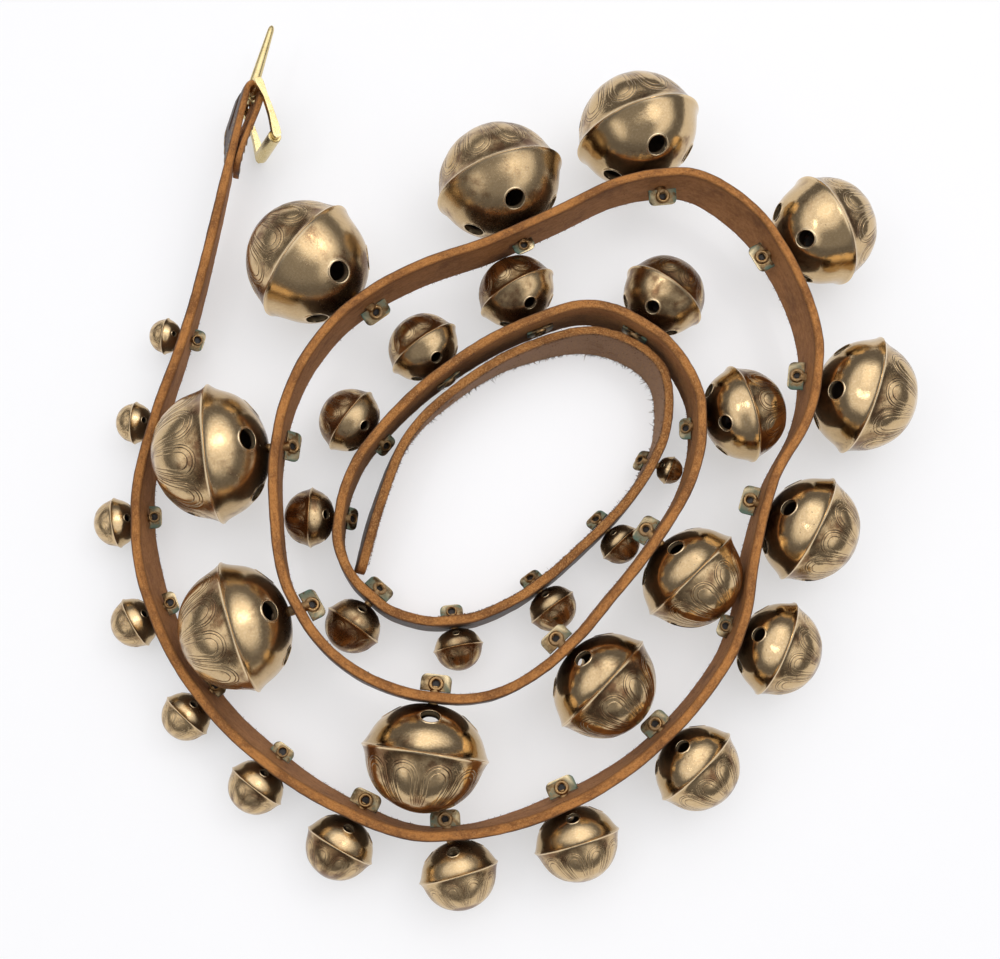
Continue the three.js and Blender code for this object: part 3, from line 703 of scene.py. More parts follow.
def strap_rows():
    """Centre, outer normal, across, thickness, width and distance along the coil of every row."""
    rows = []
    wide = 2 * (BAR_RADIUS + BAR_CLEARANCE) + (STRAP_THICKNESS + TURN_BACK_THICKNESS) / 2
    close = (STRAP_THICKNESS + TURN_BACK_THICKNESS) / 2 + LAYER_GAP
    backs = round(TURN_BACK / ROW_STEP)
    for k in range(backs, 0, -1):
        s = TURN_BACK * k / backs
        c, _, y, z = coil_at(s)
        gap = close + (wide - close) * (1 + math.cos(math.pi * k / backs)) / 2
        width = STRAP_WIDTH - TURN_BACK_TRIM * rounding(TURN_BACK - s, TURN_BACK_CORNER)
        rows.append((c - z * gap, -z, y, TURN_BACK_THICKNESS, width, -s))
    _, x, y, z = FOLD
    reach = BAR_RADIUS + BAR_CLEARANCE + TURN_BACK_THICKNESS / 2
    for k in range(FOLD_ROWS):
        turn = math.pi * k / FOLD_ROWS
        normal = -z * math.cos(turn) - x * math.sin(turn)
        rows.append((BAR_CENTRE + normal * reach, normal, y, TURN_BACK_THICKNESS, STRAP_WIDTH, 0))
    for s, c, _, y, z in zip(COIL_AT, *COIL):
        left = STRAP_LENGTH - s
        width = TIP_WIDTH + (STRAP_WIDTH - TIP_WIDTH) * min(1, left / TIP_LENGTH)
        width -= TIP_TRIM * rounding(left, TIP_CORNER)
        thick = skived(s)
        rows.append((c - z * (STRAP_THICKNESS - thick) / 2, z, y, thick, width, s))
    return [np.array(column) for column in zip(*rows)]


ROW_CENTRE, ROW_NORMAL, ROW_ACROSS, ROW_THICK, ROW_WIDTH, ROW_AT = strap_rows()
print(len(ROW_AT), "rows of leather")

# %% Section of the strap
CORNER = 1.3
FACE_COLUMNS = 7
EDGE_COLUMNS = 6


def section_columns():
    """Places round the section: shares of thickness and width, corner offsets, edge and flesh marks."""
    bends = np.radians([22, 45, 68])
    half = [(1, a, 1, 0, 0, 0) for a in np.linspace(-1, 1, FACE_COLUMNS)]
    half += [(1, 1, math.cos(b), math.sin(b), math.sin(b), 0) for b in bends]
    half += [(n, 1, 0, 1, 1, 0.5) for n in np.linspace(1, -1, EDGE_COLUMNS)]
    half += [(-1, 1, -math.sin(b), math.cos(b), math.cos(b), 1) for b in bends]
    half = np.array(half, dtype=float)
    other = half * [-1, -1, -1, -1, 1, -1] + [0, 0, 0, 0, 0, 1]
    return np.vstack([half, other])


COLUMNS = section_columns()
print(len(COLUMNS), "columns round the section")

# %% Waves that stand in for the unevenness of hand work
def uneven(points, seed, length, count=7):
    """A smooth value near -1 to 1 that wanders over the given length."""
    draw = np.random.default_rng(seed)
    total = np.zeros(len(points))
    for _ in range(count):
        way = unit(draw.normal(size=points.shape[1]))
        turns = 2 * math.pi / (length * draw.uniform(0.6, 1.6))
        total += np.sin(points @ way * turns + draw.uniform(0, 7))
    return total / math.sqrt(count)


print("waves ready")

# %% Roll the grid into the strap
RAW_FROM, RAW_FADE = 1650, 200
INNER_TURN_FROM, INNER_TURN_FADE = 2190, 120
EDGE_WAVES = (34, 6, 2.2, 1.1)


def roll_strap():
    """The strap as a closed skin; the waves of its edges and faces are in millimetres."""
    rows, columns = len(ROW_AT), len(COLUMNS)
    obj = start("strap_leather", bpy.ops.mesh.primitive_grid_add, x_subdivisions=rows - 1,
                y_subdivisions=columns, size=2)
    flat = read_points(obj)
    i = np.rint((flat[:, 0] + 1) / 2 * (rows - 1)).astype(int)
    j = np.rint((flat[:, 1] + 1) / 2 * columns).astype(int) % columns
    n_share, a_share, n_turn, a_turn, edge, flesh = COLUMNS[j].T
    n = n_share * (ROW_THICK[i] / 2 - CORNER) + n_turn * CORNER
    a = a_share * (ROW_WIDTH[i] / 2 - CORNER) + a_turn * CORNER
    run = np.concatenate([[0], np.cumsum(np.linalg.norm(np.diff(ROW_CENTRE, axis=0), axis=1))])[i]
    spread = np.stack([run, 3 * n, a], axis=1)
    coarse, small, tiny, grit = (uneven(spread, k, wave) for k, wave in enumerate(EDGE_WAVES, 1))
    raw = 0.5 * np.clip((ROW_AT[i] - RAW_FROM) / RAW_FADE, 0, 1)
    raw += 0.5 * np.clip((ROW_AT[i] - INNER_TURN_FROM) / INNER_TURN_FADE, 0, 1)
    inward = 0.10 * coarse + (0.08 + 0.10 * raw) * small + (0.05 + 0.13 * raw) * tiny
    inward += 0.10 * raw * grit - 0.14
    a += np.sign(a_turn) * edge * inward
    bumps = (1 - edge) * (0.10 * coarse + 0.05 * small) + edge * raw * 0.14 * (small + tiny)
    n += np.sign(n_turn) * bumps
    points = ROW_CENTRE[i] + ROW_NORMAL[i] * n[:, None] + ROW_ACROSS[i] * a[:, None]
    write_points(obj, points * MM)
    mark(obj, "edge", edge)
    mark(obj, "flesh", flesh)
    mark(obj, "run", np.stack([run, n, a], axis=1) * MM)
    mark(obj, "inner_turn", raw)
    open_up(obj)
    bpy.ops.mesh.remove_doubles(threshold=1e-6)
    bpy.ops.mesh.fill_holes(sides=0)
    bpy.ops.mesh.normals_make_consistent(inside=False)
    put_down()
    return obj


strap = roll_strap()
print("strap skin", len(strap.data.polygons), "faces")

# %% [markdown]
# Each bell hangs on a shank that goes through the strap to a keeper on the inner face. Its axis
# is level, whatever the strap's lean, so its place is found from the flat seat: the dome just
# clears the leather, and the bell may be turned a little off square and rolled about its shank.

# %% Places of the bells
LARGE_FROM = 54
MIDDLE_FROM = 34
UP = np.array([0.0, 0.0, 1.0])


def bell_place(k):
    belt, _, turn, stand, roll = BELLS[k]
    middle, along, _, face = SEATS[k]
    z = turned(unit(np.array([along[1], -along[0], 0.0])), UP, turn)
    y = turned(UP, z, roll)
    x = np.cross(y, z)
    radius = belt / 2
    square = z.dot(face)
    aslant = np.linalg.norm(z - face * square)
    support = math.hypot(SEAT_DEPTH * radius * square, DOME * radius * aslant)
    distance = (STRAP_THICKNESS / 2 + stand + support) / square
    return middle + z * distance, x, y, z, radius


PLACES = [bell_place(k) for k in range(len(BELLS))]


def size_of(belt):
    return "large" if belt >= LARGE_FROM else "middle" if belt >= MIDDLE_FROM else "small"


print(len(PLACES), "places for bells")

# %% [markdown]
# Punched holes let the shanks through, a slot in the fold lets the tongue swing, and a row of holes
# near the tip takes the tongue when the strap is worn. The tools are plain cylinders and a block,
# set in place and taken away with a Boolean. The marks of the finish are then read back from the
# nearest old point, and the new rims are marked as raw edge, but for the slot in the fold, which
# is as dark as the face round it.

# %% Punch the strap
TONGUE_SLOT_WIDTH = 8.6
TONGUE_SLOT_REACH = 24
SHANK_CLEARANCE = 0.45
BILLET_HOLES = 4
BILLET_PITCH = 25
BILLET_FROM_TIP = 45
BILLET_RADIUS = 2
HOLE_SIDES = 20
PUNCH_LENGTH = 3 * STRAP_THICKNESS
SLOT_RIM_REACH = 1.3 * TONGUE_SLOT_REACH
SLOT_CORNER = TONGUE_SLOT_WIDTH / 2.2
SHANK_RADIUS = {"large": 2.8, "middle": 2.4, "small": 2.0}


def punch(place, radius):
    tool = start("punch", bpy.ops.mesh.primitive_cylinder_add, vertices=HOLE_SIDES,
                 radius=radius * MM, depth=PUNCH_LENGTH * MM)
    tool.data.transform(place)
    return tool


def slot_tool():
    tool = start("slot", bpy.ops.mesh.primitive_cube_add, size=1)
    size = np.array([2 * TONGUE_SLOT_REACH, TONGUE_SLOT_WIDTH, 2 * TONGUE_SLOT_REACH]) * MM
    write_points(tool, read_points(tool) * size)
    bevel(tool, SLOT_CORNER, 5)
    tool.data.transform(in_metres(FOLD[1], FOLD[2], FOLD[3], BAR_CENTRE))
    return tool


tools = [slot_tool()]
for bell, seat, (_, x, y, z, _) in zip(BELLS, SEATS, PLACES):
    hole = SHANK_RADIUS[size_of(bell[0])] + SHANK_CLEARANCE
    tools.append(punch(in_metres(x, y, z, seat[0]), hole))
for k in range(BILLET_HOLES):
    c, x, y, z = (part[0] for part in sections(STRAP_LENGTH - BILLET_FROM_TIP - BILLET_PITCH * k))
    tools.append(punch(in_metres(x, y, z, c), BILLET_RADIUS))
print(len(tools), "tools")

# %% Take the holes out and mark the strap again
def marks_of(obj, name, width):
    values = np.empty(len(obj.data.vertices) * width)
    obj.data.attributes[name].data.foreach_get("vector" if width == 3 else "value", values)
    return values.reshape(-1, width)


def punch_strap(obj):
    before = read_points(obj)
    tree = KDTree(len(before))
    for k, point in enumerate(before):
        tree.insert(point, k)
    tree.balance()
    widths = {"edge": 1, "flesh": 1, "run": 3, "inner_turn": 1}
    old = {name: marks_of(obj, name, width) for name, width in widths.items()}
    cut(obj, join(*tools))
    found = [tree.find(point) for point in read_points(obj)]
    nearest = np.array([hit[1] for hit in found])
    fresh = np.array([hit[2] for hit in found]) > 1e-6
    at_slot = np.linalg.norm(read_points(obj) / MM - BAR_CENTRE, axis=1) < SLOT_RIM_REACH
    for name, width in widths.items():
        values = old[name][nearest]
        if name == "edge":
            values[fresh] = 1.0 - at_slot[fresh, None]
        if name in obj.data.attributes:
            obj.data.attributes.remove(obj.data.attributes[name])
        mark(obj, name, values if width == 3 else values[:, 0])
    return obj


punch_strap(strap)
smooth(strap, 50)
coat(strap, LEATHER)
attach(strap, "strap")
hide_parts("strap")
print("strap punched,", len(strap.data.polygons), "faces")

# %% [markdown]
# A petal bell is two cast bowls that meet in a thin flared belt. The bowl beside the strap has
# four round sound holes, and the crown has engraved petals and a long slot, the throat. A UV
# sphere has no flare, so the half outline is drawn by extruding one point along it and is then
# spun about the axis. Petals are cut into the dense crown by moving its points.

# %% Half outline of a bell, as shares of the belt radius
FLARE_FROM = 25
FLARE_RUN = 0.12
FLARE_NECK = (0.925, 0.085)
FLARE_RIM = (0.994, 0.010)
FLARE_POINTS = 9
BELT = ((1.0, -0.006), (0.995, 0.0), (1.0, 0.006))


def flare(depth):
    """From the dome to the edge of the belt, for one bowl, with its height as a plus."""
    a = math.radians(FLARE_FROM)
    foot = np.array([DOME * math.cos(a), depth * math.sin(a)])
    way = unit(np.array([DOME * math.sin(a), -depth * math.cos(a)]))
    neck, rim = np.array(FLARE_NECK), np.array(FLARE_RIM)
    share = np.linspace(0, 1, FLARE_POINTS + 1)[1:, None]
    rest = 1 - share
    bowl = rest ** 3 * foot + 3 * rest ** 2 * share * (foot + FLARE_RUN * way)
    return bowl + 3 * rest * share ** 2 * neck + share ** 3 * rim


def dome(depth, rings):
    angle = np.radians(np.linspace(90, FLARE_FROM, rings))
    points = np.stack([DOME * np.cos(angle), depth * np.sin(angle)], axis=1)
    points[0, 0] = 0
    return points


def outline(seat_rings, crown_rings):
    seat = np.vstack([dome(SEAT_DEPTH, seat_rings), flare(SEAT_DEPTH)]) * [1, -1]
    crown = np.vstack([dome(CROWN_DEPTH, crown_rings), flare(CROWN_DEPTH)])[::-1]
    return np.vstack([seat, BELT, crown])


def spin_up(name, line, steps):
    obj = start(name, bpy.ops.mesh.primitive_plane_add, size=0.1)
    open_up(obj)
    bpy.ops.mesh.merge(type="CENTER")
    bpy.ops.transform.translate(value=(line[0][0], 0, line[0][1]))
    for before, after in zip(line[:-1], line[1:]):
        step = (after[0] - before[0], 0, after[1] - before[1])
        bpy.ops.mesh.extrude_region_move(TRANSFORM_OT_translate={"value": step})
    bpy.ops.mesh.select_all(action="SELECT")
    bpy.ops.mesh.spin(steps=steps, angle=2 * math.pi, center=(0, 0, 0), axis=(0, 0, 1))
    bpy.ops.mesh.select_all(action="SELECT")
    bpy.ops.mesh.remove_doubles(threshold=1e-5)
    bpy.ops.mesh.normals_make_consistent(inside=False)
    put_down()
    return obj


print("flare of", len(flare(CROWN_DEPTH)), "points")

# %% Petals on the crown
LINE_HALF = 0.085
LINE_DEPTH = 0.0045
PILLOW = 0.007
PILLOW_END = 1.15
GROUND_FROM, GROUND_FADE = 1.10, 0.12
CROWN_FROM = 0.02
FIELD_FROM, FIELD_FADE, FIELD_END_FADE = np.radians([6, 3, 7])


def petals(points):
    """Engraved lines, swell of the petals and punched ground between them, 0 to 1 each."""
    radius = np.hypot(points[:, 0], points[:, 1])
    lift = np.arctan2(points[:, 2] / CROWN_DEPTH, radius / DOME)
    round_ = np.arctan2(points[:, 1], points[:, 0])
    aside = np.abs((round_ + PETAL_GAP / 2) % PETAL_GAP - PETAL_GAP / 2)
    below = np.clip((PETAL_BEND - lift) / (PETAL_BEND - PETAL_TOP), 0, None)
    reach = np.hypot(aside / PETAL_HALF, below)
    field = np.clip((lift - FIELD_FROM) / FIELD_FADE, 0, 1)
    field *= np.clip((PETAL_END - lift) / FIELD_END_FADE, 0, 1)
    lines = np.zeros(len(points))
    for level in PETAL_LINES:
        lines = np.maximum(lines, np.exp(-((reach - level) / LINE_HALF) ** 2))
    pillow = np.clip(PILLOW_END - reach, 0, 1) ** 0.5
    ground = np.clip((reach - GROUND_FROM) / GROUND_FADE, 0, 1)
    return lines * field, pillow * field, ground * field


def engrave(obj):
    points = read_points(obj)
    outward = unit(points / np.array([DOME, DOME, CROWN_DEPTH]) ** 2 + 1e-9)
    lines, pillow, _ = petals(points)
    crown = points[:, 2] > CROWN_FROM
    rise = (PILLOW * pillow - LINE_DEPTH * lines) * crown
    write_points(obj, points + outward * rise[:, None])


print("petal pattern:", PETALS, "petals of", len(PETAL_LINES), "lines")

# %% Sound holes and throat
HOLE_SHARE = 0.15
BEAD_SHARE = 0.02
HOLE_LATITUDE = math.radians(47)
HOLE_COUNT = 4
DRILL_LENGTH = 0.5
THROAT_HALF = 0.055
THROAT_END = 0.095
THROAT_LEVEL = 0.38
THROAT_MIDDLE = 0.8
THROAT_REACH = 2.6
BEAD_SUNK = 1.2 * BEAD_SHARE
RUBBED_AND_HIGHLIGHT_FROM, RUBBED_AND_HIGHLIGHT_FADE = 0.972, 0.02
RIM_WIDTH, RIM_DEPTH = 0.028, 0.06


def hole_place(k):
    """Middle of a sound hole on the seat bowl and the way out through it."""
    turn = math.pi / 2 + 2 * math.pi * k / HOLE_COUNT
    level, low = math.cos(HOLE_LATITUDE), math.sin(HOLE_LATITUDE)
    way = np.array([math.cos(turn), math.sin(turn)])
    out = unit(np.array([*way * level / DOME, -low / SEAT_DEPTH]))
    return np.array([*way * level * DOME, -low * SEAT_DEPTH]), out


def stand_at_hole(obj, k):
    middle, out = hole_place(k)
    turn = Vector((0, 0, 1)).rotation_difference(Vector(out)).to_matrix().to_4x4()
    obj.data.transform(Matrix.Translation(middle) @ turn)
    return obj


def hole_tool(k):
    drill = start("drill", bpy.ops.mesh.primitive_cylinder_add, vertices=32, radius=HOLE_SHARE,
                  depth=DRILL_LENGTH)
    return stand_at_hole(drill, k)


def hole_bead(k):
    """The raised rim that the casting has round a sound hole."""
    bead = start("bead", bpy.ops.mesh.primitive_torus_add, major_radius=HOLE_SHARE + BEAD_SHARE / 2,
                 minor_radius=BEAD_SHARE, major_segments=40, minor_segments=10,
                 location=(0, 0, -BEAD_SUNK))
    return stand_at_hole(bead, k)


def throat_tool():
    """A saw cut across the crown with a drilled hole at each end."""
    slit = start("throat", bpy.ops.mesh.primitive_cube_add, size=1, location=(0, 0, THROAT_MIDDLE))
    write_points(slit, read_points(slit) * [THROAT_REACH, 2 * THROAT_HALF, 1.0])
    ends = start("throat_ends", bpy.ops.mesh.primitive_cylinder_add, vertices=24, radius=THROAT_END,
                 depth=THROAT_REACH, location=(0, 0, THROAT_LEVEL), rotation=(0, math.pi / 2, 0))
    return cut(slit, ends, operation="UNION")


def rim_mark(points):
    """The rubbed places, painted paler too as a highlight: the belt and the rims of the sound holes."""
    belt = np.clip((np.hypot(points[:, 0], points[:, 1]) - RUBBED_AND_HIGHLIGHT_FROM) / RUBBED_AND_HIGHLIGHT_FADE, 0, 1)
    rims = np.zeros(len(points))
    for k in range(HOLE_COUNT):
        middle, out = hole_place(k)
        along = (points - middle) @ out
        away = np.linalg.norm(points - middle - np.outer(along, out), axis=1)
        near = np.clip(1.3 - np.abs(away - HOLE_SHARE - BEAD_SHARE / 2) / RIM_WIDTH, 0, 1)
        rims = np.maximum(rims, near * (along > -RIM_DEPTH))
    return np.maximum(belt, 0.9 * rims)


print(HOLE_COUNT, "sound holes and a throat")

# %% Cast the two patterns
SKIN_FROM = 0.96
INSIDE_FROM, INSIDE_FADE = 0.955, 0.02
HOLLOW_STEPS = 48
HOLLOW_RINGS = 17
FINE_FROM = 45
# steps of the spin, rings of the seat bowl, rings of the crown, wall
GRAINS = {"fine": (256, 30, 50, 0.08), "plain": (144, 18, 28, 0.12)}


def make_bell(name, steps, seat_rings, crown_rings, wall):
    obj = spin_up(name, outline(seat_rings, crown_rings), steps)
    engrave(obj)
    inner = np.array([
        [(DOME - wall) * math.cos(a), ((SEAT_DEPTH if a < 0 else CROWN_DEPTH) - wall) * math.sin(a)]
        for a in np.radians(np.linspace(-90, 90, HOLLOW_RINGS))
    ])
    inner[[0, -1], 0] = 0
    beads, drills = (join(*[make(k) for k in range(HOLE_COUNT)]) for make in (hole_bead, hole_tool))
    cut(obj, beads, operation="UNION")
    cut(obj, spin_up("hollow", inner, HOLLOW_STEPS), drills, throat_tool())
    points = read_points(obj)
    _, pillow, ground = petals(points)
    depth = np.where(points[:, 2] < 0, SEAT_DEPTH, CROWN_DEPTH)
    shell = np.hypot(np.hypot(points[:, 0], points[:, 1]) / DOME, points[:, 2] / depth)
    crown = (points[:, 2] > CROWN_FROM) & (shell > SKIN_FROM)
    mark(obj, "shell", points)
    mark(obj, "outside", crown)
    # The inside mark says where the painted shade inside the bell goes.
    mark(obj, "inside", np.clip((INSIDE_FROM - shell) / INSIDE_FADE, 0, 1))
    mark(obj, "stipple", ground * crown)
    mark(obj, "puff", pillow * crown)
    mark(obj, "rim", rim_mark(points))
    coat(obj, BELL_FINISH)
    return obj


patterns = {key: make_bell("bell_" + key, *grain) for key, grain in GRAINS.items()}
print({key: len(obj.data.polygons) for key, obj in patterns.items()})

# %% [markdown]
# The thirty-three bells are copies of two patterns, a fine one and a plainer one for the small
# bells. Each copy has a mesh of its own and is given slight dents and its own tone, so that no
# two look alike, before it is set at its place. The second and third bells are set paler, in part
# as a painted highlight on their shining crowns.

# %% Hang the bells
# Bells 2 and 3 are set paler partly as a painted highlight on their shining crowns.
TONES_AND_HIGHLIGHTS = {1: -0.25, 2: -0.6, 3: -0.45, 4: -0.1, 17: 0.15, 24: 0.25, 25: 0.2, 26: 0.2, 27: 0.25, 28: 0.3,
         29: 0.35, 30: 0.1, 31: 0.2, 32: 0.3, 33: 0.3}
POLISHED = (10, 11, 12, 13, 14, 15, 20, 21, 22, 23)
WAVE_DEPTH, WAVE_LENGTH = 0.0045, 0.9
DENTS = 5
DENT_DEPTH, DENT_WIDTH = (0.004, 0.014), (0.10, 0.24)
DENT_LEVEL = 0.8
CALM_BELT, CALM_BELT_FADE, CALM_SEAT_FADE = 0.985, 0.06, 0.2
SNUG = 1.2


def deepen(points, more):
    """The seat bowl drawn out by a share of the belt radius, for a bell that stands off its strap."""
    longer = 1 + more / SEAT_DEPTH
    return np.where(points[:, 2:] < 0, points * [1, 1, longer], points)


def batter(points, seed):
    """Shallow dents and waves in the metal, in shares of the belt radius, but none beside the strap."""
    draw = np.random.default_rng(seed)
    depth = WAVE_DEPTH * uneven(points, seed, WAVE_LENGTH)
    for _ in range(DENTS):
        spot = unit(draw.normal(size=3)) * [DOME, DOME, DENT_LEVEL]
        deep, wide = draw.uniform(*DENT_DEPTH), draw.uniform(*DENT_WIDTH)
        depth -= deep * np.exp(-(np.linalg.norm(points - spot, axis=1) / wide) ** 2)
    calm = np.clip((CALM_BELT - np.hypot(points[:, 0], points[:, 1])) / CALM_BELT_FADE, 0, 1)
    calm *= np.clip((points[:, 2] + SEAT_DEPTH) / CALM_SEAT_FADE, 0, 1)
    return points * (1 + (depth * calm)[:, None])


def hang_bell(k):
    centre, x, y, z, radius = PLACES[k]
    belt = BELLS[k][0]
    obj = copy_of(patterns["fine" if belt >= FINE_FROM else "plain"], f"petal_bell_{k + 1:02d}")
    points = deepen(read_points(obj), max(0, BELLS[k][3] - SNUG) / radius)
    write_points(obj, batter(points, 100 + k))
    draw = random.Random(k)
    mark(obj, "tone_and_highlight", TONES_AND_HIGHLIGHTS.get(k + 1, 0.0) + draw.uniform(-0.12, 0.12))
    mark(obj, "polish", 1.0 if k + 1 in POLISHED else draw.uniform(0, 0.5))
    obj.data.transform(in_metres(x, y, z, centre) @ Matrix.Scale(radius * MM, 4))
    smooth(obj, 40)
    body = f"bell_{k + 1:02d}"
    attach(obj, body)
    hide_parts(body)
    return obj


bells = [hang_bell(k) for k in range(len(BELLS))]
throw_away(*patterns.values())
print(len(bells), "bells,", sum(len(obj.data.polygons) for obj in bells), "faces")

# %% [markdown]
# On the inner face each shank ends in an eye, held by a small plate with rounded corners, the
# keeper. A plate and a ring would pass from far off, but these are seen from above, so the plate
# is bevelled, the ring is a flattened torus with a drilled eye, and all are made one with Booleans.

# %% Keepers
KEEPER_LENGTH = {"large": 17.0, "middle": 16.5, "small": 13.0}
KEEPER_DEPTH = {"large": 9.4, "middle": 9.0, "small": 7.0}
EYE_RADIUS = {"large": 4.4, "middle": 4.2, "small": 3.3}
KEEPER_THICKNESS = 1.4
KEEPER_CORNER = 3.4
KEEPER_EDGE = 0.28
KEEPER_GAP = 0.6
LIP_DEPTH, LIP_HEIGHT = 0.5, 0.4
EYE_HOLE = 1.9
EYE_FLOOR = 0.4
EYE_RISE = 1.5
EYE_SHIFT = 0.7
LAID_KEEPERS = (24, 25, 26)
SHORT_KEEPERS = (11, 16, 23, 27, 28)


def make_keeper(size):
    """Plate in its own frame: X along the strap, Y up through the plate, Z from the strap."""
    length, depth, ring = KEEPER_LENGTH[size], KEEPER_DEPTH[size], EYE_RADIUS[size]
    plate = start("keeper_" + size, bpy.ops.mesh.primitive_cube_add, size=1)
    sides = np.array([length, KEEPER_THICKNESS, depth])
    write_points(plate, (read_points(plate) + [0, 0.5, -0.5]) * sides * MM)
    open_up(plate, "DESELECT")
    bpy.ops.mesh.select_mode(type="EDGE")
    put_down()
    for edge in plate.data.edges:
        a, b = (plate.data.vertices[v].co for v in edge.vertices)
        edge.select = abs(a.y - b.y) > 1e-4 and max(a.z, b.z) < -depth / 2 * MM
    take(plate)
    bpy.ops.object.mode_set(mode="EDIT")
    bpy.ops.mesh.bevel(offset=KEEPER_CORNER * MM, segments=5, affect="EDGES")
    put_down()
    bevel(plate, KEEPER_EDGE, 2, 50)
    thick = (ring - EYE_HOLE) / 2
    eye = start("eye", bpy.ops.mesh.primitive_torus_add, major_radius=(EYE_HOLE + thick) * MM,
                minor_radius=thick * MM, major_segments=40, minor_segments=14, rotation=(math.pi / 2, 0, 0))
    high = KEEPER_THICKNESS + EYE_RISE
    eye_at = EYE_SHIFT - depth / 2
    write_points(eye, read_points(eye) * [1, high / (2 * thick), 1] + np.array([0, high / 2, eye_at]) * MM)
    cut(plate, eye, operation="UNION")
    cut(plate, start("eye_drill", bpy.ops.mesh.primitive_cylinder_add, vertices=32, radius=EYE_HOLE * MM,
                     depth=high * MM, rotation=(math.pi / 2, 0, 0),
                     location=(0, (EYE_FLOOR + high / 2) * MM, eye_at * MM)))
    points = read_points(plate) / MM
    away = np.hypot(points[:, 0], points[:, 2] - eye_at)
    lip = (points[:, 2] < LIP_DEPTH - depth) & (points[:, 1] > KEEPER_THICKNESS - LIP_HEIGHT)
    mark(plate, "ring", np.clip((ring + 0.1 - away) / 0.2, 0, 1) * (points[:, 1] > KEEPER_THICKNESS - 0.1))
    # The lip of the plate gets the painted highlight.
    mark(plate, "lip_highlight", lip)
    # The floor of the eye gets the painted shade.
    mark(plate, "pit", (away < EYE_HOLE + 0.05) & (np.abs(points[:, 1] - EYE_FLOOR) < 0.05))
    coat(plate, KEEPER_FINISH)
    return plate


keepers = {size: make_keeper(size) for size in ("large", "middle", "small")}
print({size: len(obj.data.polygons) for size, obj in keepers.items()})

# %% Fit the keepers and shanks
TIPPED = {9: 14, 11: 4, 13: 24, 16: 0, 17: 34, 18: 36, 20: 8, 22: 20, 27: 38, 28: 42, 29: 34, 30: 12,
          31: 36, 32: 34, 33: 48}
TIP_SPREAD = (10, 26)
SHANK_SUNK = 0.04
LAY_FLAT = Matrix(((1, 0, 0, 0), (0, 0, 1, 0), (0, -1, 0, 0), (0, 0, 0, 1)))


def fit_keeper(k):
    belt = BELLS[k][0]
    number = k + 1
    centre, x, y, z, radius = PLACES[k]
    middle, along, across, face = SEATS[k]
    size = "small" if number in SHORT_KEEPERS else size_of(belt)
    laid = number in LAID_KEEPERS
    back = STRAP_THICKNESS / 2 + KEEPER_GAP
    reach = KEEPER_THICKNESS if laid else KEEPER_DEPTH[size] / 2
    shift = -z.dot(along) / z.dot(face) * (back + reach)
    obj = copy_of(keepers[size], f"keeper_{number:02d}")
    if laid:
        obj.data.transform(Matrix.Translation((0, KEEPER_DEPTH[size] / 2 * MM, 0)) @ LAY_FLAT)
    else:
        tip = TIPPED.get(number, random.Random(number).uniform(*TIP_SPREAD))
        obj.data.transform(Matrix.Rotation(-math.radians(tip), 4, "X"))
    obj.data.transform(Matrix.Translation((shift * MM, 0, -back * MM)))
    obj.data.transform(in_metres(along, across, face, middle))
    end = reach - (0 if laid else EYE_HOLE)
    root = middle - z * (back + end) / z.dot(face)
    length = np.linalg.norm(centre - root) - (SEAT_DEPTH - SHANK_SUNK) * radius
    shank = start("shank", bpy.ops.mesh.primitive_cylinder_add, vertices=20,
                  radius=SHANK_RADIUS[size_of(belt)] * MM, depth=length * MM)
    shank.data.transform(in_metres(x, y, z, root + z * length / 2))
    coat(shank, KEEPER_FINISH)
    for name, value in (("ring", 1.0), ("lip_highlight", 0.0), ("pit", 0.0)):
        mark(shank, name, value)
    join(obj, shank)
    smooth(obj, 40)
    body = f"bell_{number:02d}"
    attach(obj, body)
    return obj


fitted = [fit_keeper(k) for k in range(len(BELLS))]
throw_away(*keepers.values())
print(len(fitted), "keepers")

# %% [markdown]
# Inside every bell rolls one iron pellet. It is a rough lump rather than a bearing ball: an ico
# sphere whose points wander a little. It shows only through a sound hole or the throat.

# %% Pellets
PELLET_SHARE = 0.2
LUMP_MEAN, LUMP_HEIGHT, LUMP_GRIT = 0.965, 0.025, 0.01
WALL_BASE = 1.6
WALL_SHARE = 0.036


def make_pellet():
    obj = start("pellet", bpy.ops.mesh.primitive_ico_sphere_add, subdivisions=4, radius=1)
    points = read_points(obj)
    lumps = LUMP_MEAN + LUMP_HEIGHT * uneven(points, 9, 0.8) + LUMP_GRIT * uneven(points, 10, 0.25)
    write_points(obj, points * lumps[:, None])
    coat(obj, IRON)
    return obj


def drop_pellet(pattern, k):
    centre, *_, radius = PLACES[k]
    body = f"pellet_{k + 1:02d}"
    loose = BELLS[k][0] >= MIDDLE_FROM
    obj = copy_of(pattern, f"iron_pellet_{k + 1:02d}")
    size = PELLET_SHARE * radius
    if loose:
        low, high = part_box(body)
        place = [(a + b) / 2 for a, b in zip(low, high)]
    else:
        room = DOME * radius - WALL_BASE - WALL_SHARE * radius - size
        place = (centre - UP * room) * MM
    obj.data.transform(Matrix.Translation(place) @ Matrix.Scale(size * MM, 4))
    smooth(obj, 60)
    if loose:
        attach(obj, body)
        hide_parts(body)
    else:
        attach(obj, f"bell_{k + 1:02d}")
    return obj


lump = make_pellet()
pellets = [drop_pellet(lump, k) for k in range(len(BELLS))]
throw_away(lump)
print(len(pellets), "pellets")

# %% [markdown]
# The roller buckle is a small brass casting: a bar in the fold of the strap, two bowed arms and
# a rod with a loose roller. Each arm starts as a cube that is subdivided and bowed by moving its
# points, the bars are cylinders, and a Boolean union with a bevel gives the softness of a casting.

